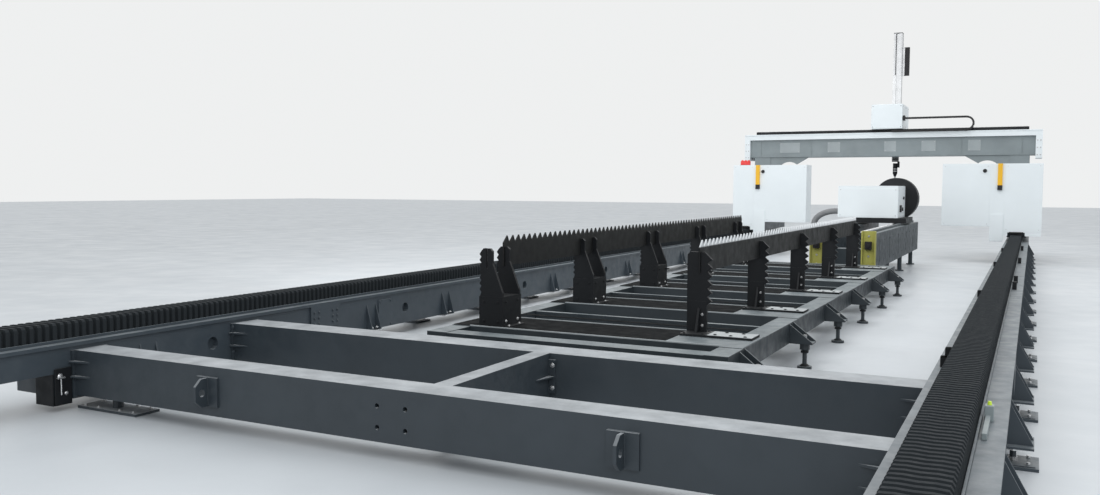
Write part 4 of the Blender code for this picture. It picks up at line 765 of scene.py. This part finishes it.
# Gantry beam: access plates, edges, end plate bolts, rack, guide rails and foot plates
bm, screws = bmesh.new(), bmesh.new()
for x0_, x1_ in ((-2.77, -2.22), (-1.47, -1.14), (0.0, 0.3), (0.93, 1.28), (2.05, 2.35)):
    box(bm, (x0_, 10.594, 2.74), (x1_, 10.5997, 3.02))
    for x in (x0_ + 0.03, x1_ - 0.03):
        for z in (2.77, 2.99):
            disc(screws, (x, 10.592, z), 0.009, 0.005, "y", 12)
finish_piece("beam_access_plates", bm, "greylight", "gantry", bevel=0.003)
bm = bmesh.new()
box(bm, (-3.58, 10.586, 2.6203), (3.58, 10.5997, 2.645))
box(bm, (-3.58, 11.3003, 2.6203), (3.58, 11.314, 2.645))
for x in (-3.3, 3.3, -1.9, 1.9):
    box(bm, (x - 0.006, 10.59, 2.65), (x + 0.006, 10.5997, 3.09))
finish_piece("beam_edges", bm, "grey", "gantry", bevel=0.002)
for side in (-1, 1):
    for x in (3.64, 3.71):
        for z in (2.62, 2.8, 2.98):
            bolt(screws, (side * x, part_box("right_end_plate")[0][1] - 0.0003, z), 0.013, "y", -1)
finish_piece("beam_screws", screws, "steel", "gantry", bevel=0.001, segments=1)
bm = bmesh.new()
box(bm, (-3.74, 10.508, 3.225), (3.74, 10.5197, 3.247))
box(bm, (-3.74, 11.3803, 3.225), (3.74, 11.392, 3.247))
finish_piece("top_plate_edges", bm, "pale", "gantry", bevel=0.002)
bm = bmesh.new()
for k in range(205):
    x = -3.42 + 0.0334 * k
    wedge(bm, [(x, 3.3315), (x + 0.024, 3.3315), (x + 0.017, 3.345), (x + 0.007, 3.345)], "y", 10.66, 10.70)
finish_piece("beam_gear_rack", bm, "steel", "gantry")
bm = bmesh.new()
box(bm, (-3.43, 10.80, 3.3315), (3.43, 10.85, 3.3385))
box(bm, (-3.43, 11.12, 3.3315), (3.43, 11.17, 3.3385))
finish_piece("beam_guide_rails", bm, "steel", "gantry", bevel=0.002)
for side, s in SIDE_NAME.items():
    bm = bmesh.new()
    a, b = sorted((side * 2.99, side * 3.52))
    box(bm, (a, 10.55, 1.0006), (b, 11.35, 1.03))
    a, b = sorted((side * 3.10, side * 3.41))
    box(bm, (a, 10.588, 1.35), (b, 10.6037, 2.2))
    finish_piece(f"{s}_leg_foot_plate", bm, "grey", "gantry", bevel=0.004)
    bm = bmesh.new()
    for x in (3.05, 3.18, 3.33, 3.46):
        for y in (10.575, 11.325):
            bolt(bm, (side * x, y, 1.03), 0.016, "z", 1)
    for x in (3.125, 3.385):
        for z in (1.4, 1.78, 2.15):
            bolt(bm, (side * x, 10.588, z), 0.010, "y", -1)
    finish_piece(f"{s}_leg_bolts", bm, "steel", "gantry", bevel=0.001, segments=1)
    bm = bmesh.new()
    mid = side * RAIL_MID
    for y in (9.55, 12.1):
        box(bm, (mid - 0.18, y - 0.14, 1.0006), (mid + 0.18, y + 0.14, 1.03))
        bolt(bm, (mid, y, 1.03), 0.03, "z", 1)
    a, b = sorted((side * 3.4655, side * 3.4955))
    box(bm, (a, 9.7, 0.62), (b, 10.3, 0.95))
    finish_piece(f"{s}_truck_plates", bm, "rail", "gantry", bevel=0.003)

# Carriage panels and fittings
bm, dark = bmesh.new(), bmesh.new()
box(bm, (-0.31, 10.4155, 3.36), (0.45, 10.4197, 3.965))
box(bm, (0.4603, 10.45, 3.37), (0.4645, 11.70, 3.96))
box(bm, (-0.3245, 10.45, 3.37), (-0.3203, 11.70, 3.96))
box(bm, (-0.30, 10.45, 3.9803), (0.44, 11.42, 3.9845))
finish_piece("carriage_panels", bm, "pale", "cross_carriage", bevel=0.003)
for x in (-0.28, 0.42):
    for z in (3.39, 3.93):
        disc(dark, (x, 10.413, z), 0.009, 0.005, "y", 12)
for y in (10.5, 11.1, 11.65):
    for z in (3.41, 3.92):
        disc(dark, (0.467, y, z), 0.01, 0.005, "x", 12)
box(dark, (0.4645, 10.46, 3.55), (0.52, 10.60, 3.68))
finish_piece("carriage_fittings", dark, "plastic", "cross_carriage", bevel=0.002)

# Ram: guide strips, rack and top cap
bm, dark = bmesh.new(), bmesh.new()
for x in (0.085, 0.255):
    box(bm, (x - 0.012, 11.488, 4.84), (x + 0.012, 11.4997, 5.98))
box(bm, (0.052, 11.7003, 4.84), (0.288, 11.71, 5.98))
finish_piece("ram_guides", bm, "steel", "lifting_ram", bevel=0.002)
box(dark, (0.055, 11.495, 5.9803), (0.285, 11.705, 5.997))
box(dark, (0.115, 11.496, 4.85), (0.135, 11.5195, 5.97))
finish_piece("ram_cap", dark, "support", "lifting_ram", bevel=0.002)


def chain_links(name, path, w, low, high, thick, mat):
    """Separate links of a cable chain along a path, each a pair of side plates with two bars across."""
    bm = bmesh.new()
    w = Vector(w)
    for a, b in zip(path, path[1:]):
        a, b = Vector(a), Vector(b)
        along = (b - a).normalized()
        up = along.cross(w).normalized()
        mid = (a + b) / 2
        length = (b - a).length
        turn = Matrix((along, w, up)).transposed().to_4x4()
        parts = [(w * off, (length * 0.92, thick * 0.16, thick)) for off in (low, high)]
        parts += [
            (up * thick * off + w * (low + high) / 2, (length * 0.5, high - low, thick * 0.12))
            for off in (-0.42, 0.42)
        ]
        for shift, size in parts:
            place = Matrix.Translation(mid + shift) @ turn @ Matrix.Diagonal((*size, 1))
            bmesh.ops.create_cube(bm, size=1, matrix=place)
    return finish_piece(name, bm, mat, None, bevel=0.0015, segments=1)


steps = 22
links = [(0.405, 11.6, 4.835 + (5.6 - 4.835) * i / steps) for i in range(steps + 1)]
obj = chain_links("ram_chain_links", links, (0, 1, 0), -0.036, 0.036, 0.12, "plastic")
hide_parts("ram_chain")
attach(obj, "lifting_ram")
bm = bmesh.new()
box(bm, (0.2803, 11.588, 4.84), (0.345, 11.596, 5.596))
box(bm, (0.2803, 11.56, 4.835), (0.345, 11.64, 4.85))
box(bm, (0.2803, 11.56, 5.585), (0.345, 11.64, 5.599))
finish_piece("ram_chain_carrier", bm, "steel", "lifting_ram", bevel=0.002)

# Cable chain on the beam: lower run on the top plate, bend, upper run to the carriage
low_z, r = 3.2505, 0.19
mid_z, inner = low_z + r, 0.165
right_x = 2.2 - r
path = [(0.2 + (right_x - 0.2) * i / 26, 10.47, mid_z - inner) for i in range(26)]
bend = [-pi / 2 + pi * i / 8 for i in range(8)]
path += [(right_x + inner * cos(a), 10.47, mid_z + inner * sin(a)) for a in bend]
path += [(right_x - (right_x - 0.4605) * i / 22, 10.47, mid_z + inner) for i in range(23)]
obj = chain_links("cross_chain_links", path, (0, 1, 0), -0.045, 0.045, 0.047, "plastic")
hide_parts("cross_chain")
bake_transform(obj)

# Head: rings round the turret and the nozzle
bm = bmesh.new()
for z in (2.66, 2.60, 2.54):
    disc(bm, (0.17, 11.6, z), 0.0935, 0.012, "z", 40)
finish_piece("turret_rings", bm, "steel", "turret", bevel=0.002)
bm = bmesh.new()
disc(bm, (0.17, 11.6, 2.30), 0.064, 0.02, "z", 36)
disc(bm, (0.17, 11.6, 2.24), 0.064, 0.02, "z", 36)
disc(bm, (0.17, 11.6, 2.085), 0.022, 0.03, "z", 24, 0.028)
finish_piece("nozzle_rings", bm, "steel", "cutting_nozzle", bevel=0.002)

# Small parts by the right rail's cover: clips, sensor bar with its lamp
bm = bmesh.new()
for y in (-8.6, -9.0, -4.2, 0.6, 4.6):
    box(bm, (3.062, y - 0.03, 0.5256), (3.112, y + 0.03, 0.60))
    box(bm, (3.062, y - 0.03, 0.592), (3.128, y + 0.03, 0.60))
for y in (-3.1, -2.2, 1.5, 5.2):
    box(bm, (3.40, y - 0.03, 0.5256), (3.45, y + 0.03, 0.62))
finish_piece("right_rail_clips", bm, "support", "base", bevel=0.003)
bm = bmesh.new()
box(bm, (3.41, -10.98, 0.5256), (3.435, -10.5, 0.56))
box(bm, (3.405, -10.56, 0.5256), (3.45, -10.5, 0.61))
finish_piece("sensor_bar", bm, "grey", "base", bevel=0.003)
bm = bmesh.new()
disc(bm, (3.428, -10.53, 0.62), 0.012, 0.02, "z", 20, 0.009)
finish_piece("sensor_lamp", bm, "lamp", "base", bevel=0.001)


# Floor and light
def floor():
    bm = bmesh.new()
    bmesh.ops.create_grid(bm, x_segments=1, y_segments=1, size=90)
    mesh = bpy.data.meshes.new("floor")
    bm.to_mesh(mesh)
    bm.free()
    obj = bpy.data.objects.new("floor", mesh)
    bpy.context.scene.collection.objects.link(obj)
    m = Mat("floor_paint", (0.53, 0.56, 0.58), 0.0, 0.35)
    m.colour(m.mix(m.ramp(m.noise(0.35, 6), 0.35, 0.7, 0, 1), (0.55, 0.58, 0.60), (0.49, 0.52, 0.54)))
    m.rough(m.ramp(m.noise(1.4, 6), 0.3, 0.7, 0.28, 0.5))
    mesh.materials.append(m.mat)


floor()

world = bpy.data.worlds.new("studio")
bpy.context.scene.world = world
world.use_nodes = True
tree = world.node_tree
tree.nodes.clear()
out = tree.nodes.new("ShaderNodeOutputWorld")
light = tree.nodes.new("ShaderNodeBackground")
light.inputs["Color"].default_value = (0.93, 0.96, 1.0, 1)
light.inputs["Strength"].default_value = 0.9
seen = tree.nodes.new("ShaderNodeBackground")
seen.inputs["Color"].default_value = (0.86, 0.87, 0.87, 1)
seen.inputs["Strength"].default_value = 1.0
mix = tree.nodes.new("ShaderNodeMixShader")
path = tree.nodes.new("ShaderNodeLightPath")
seen_by = path.outputs["Is Camera Ray"]
for ray in ("Is Glossy Ray", "Is Transmission Ray"):
    either = tree.nodes.new("ShaderNodeMath")
    either.operation = "MAXIMUM"
    tree.links.new(seen_by, either.inputs[0])
    tree.links.new(path.outputs[ray], either.inputs[1])
    seen_by = either.outputs[0]
tree.links.new(seen_by, mix.inputs[0])
tree.links.new(light.outputs[0], mix.inputs[1])
tree.links.new(seen.outputs[0], mix.inputs[2])
tree.links.new(mix.outputs[0], out.inputs[0])


def lamp(name, place, aim, size, power):
    data = bpy.data.lights.new(name, "AREA")
    data.shape = "RECTANGLE"
    data.size, data.size_y = size
    data.energy = power
    obj = bpy.data.objects.new(name, data)
    bpy.context.scene.collection.objects.link(obj)
    obj.location = place
    obj.rotation_euler = (Vector(aim) - Vector(place)).to_track_quat("-Z", "Y").to_euler()


lamp("roof_light", (0, 0, 11), (0, 0, 0), (12, 28), 1200)
lamp("middle_light", (-4.5, -4, 5.0), (-1, 9, 2.0), (8, 5), 290)
lamp("front_light", (8, -18, 8), (0, -4, 0.5), (8, 6), 500)
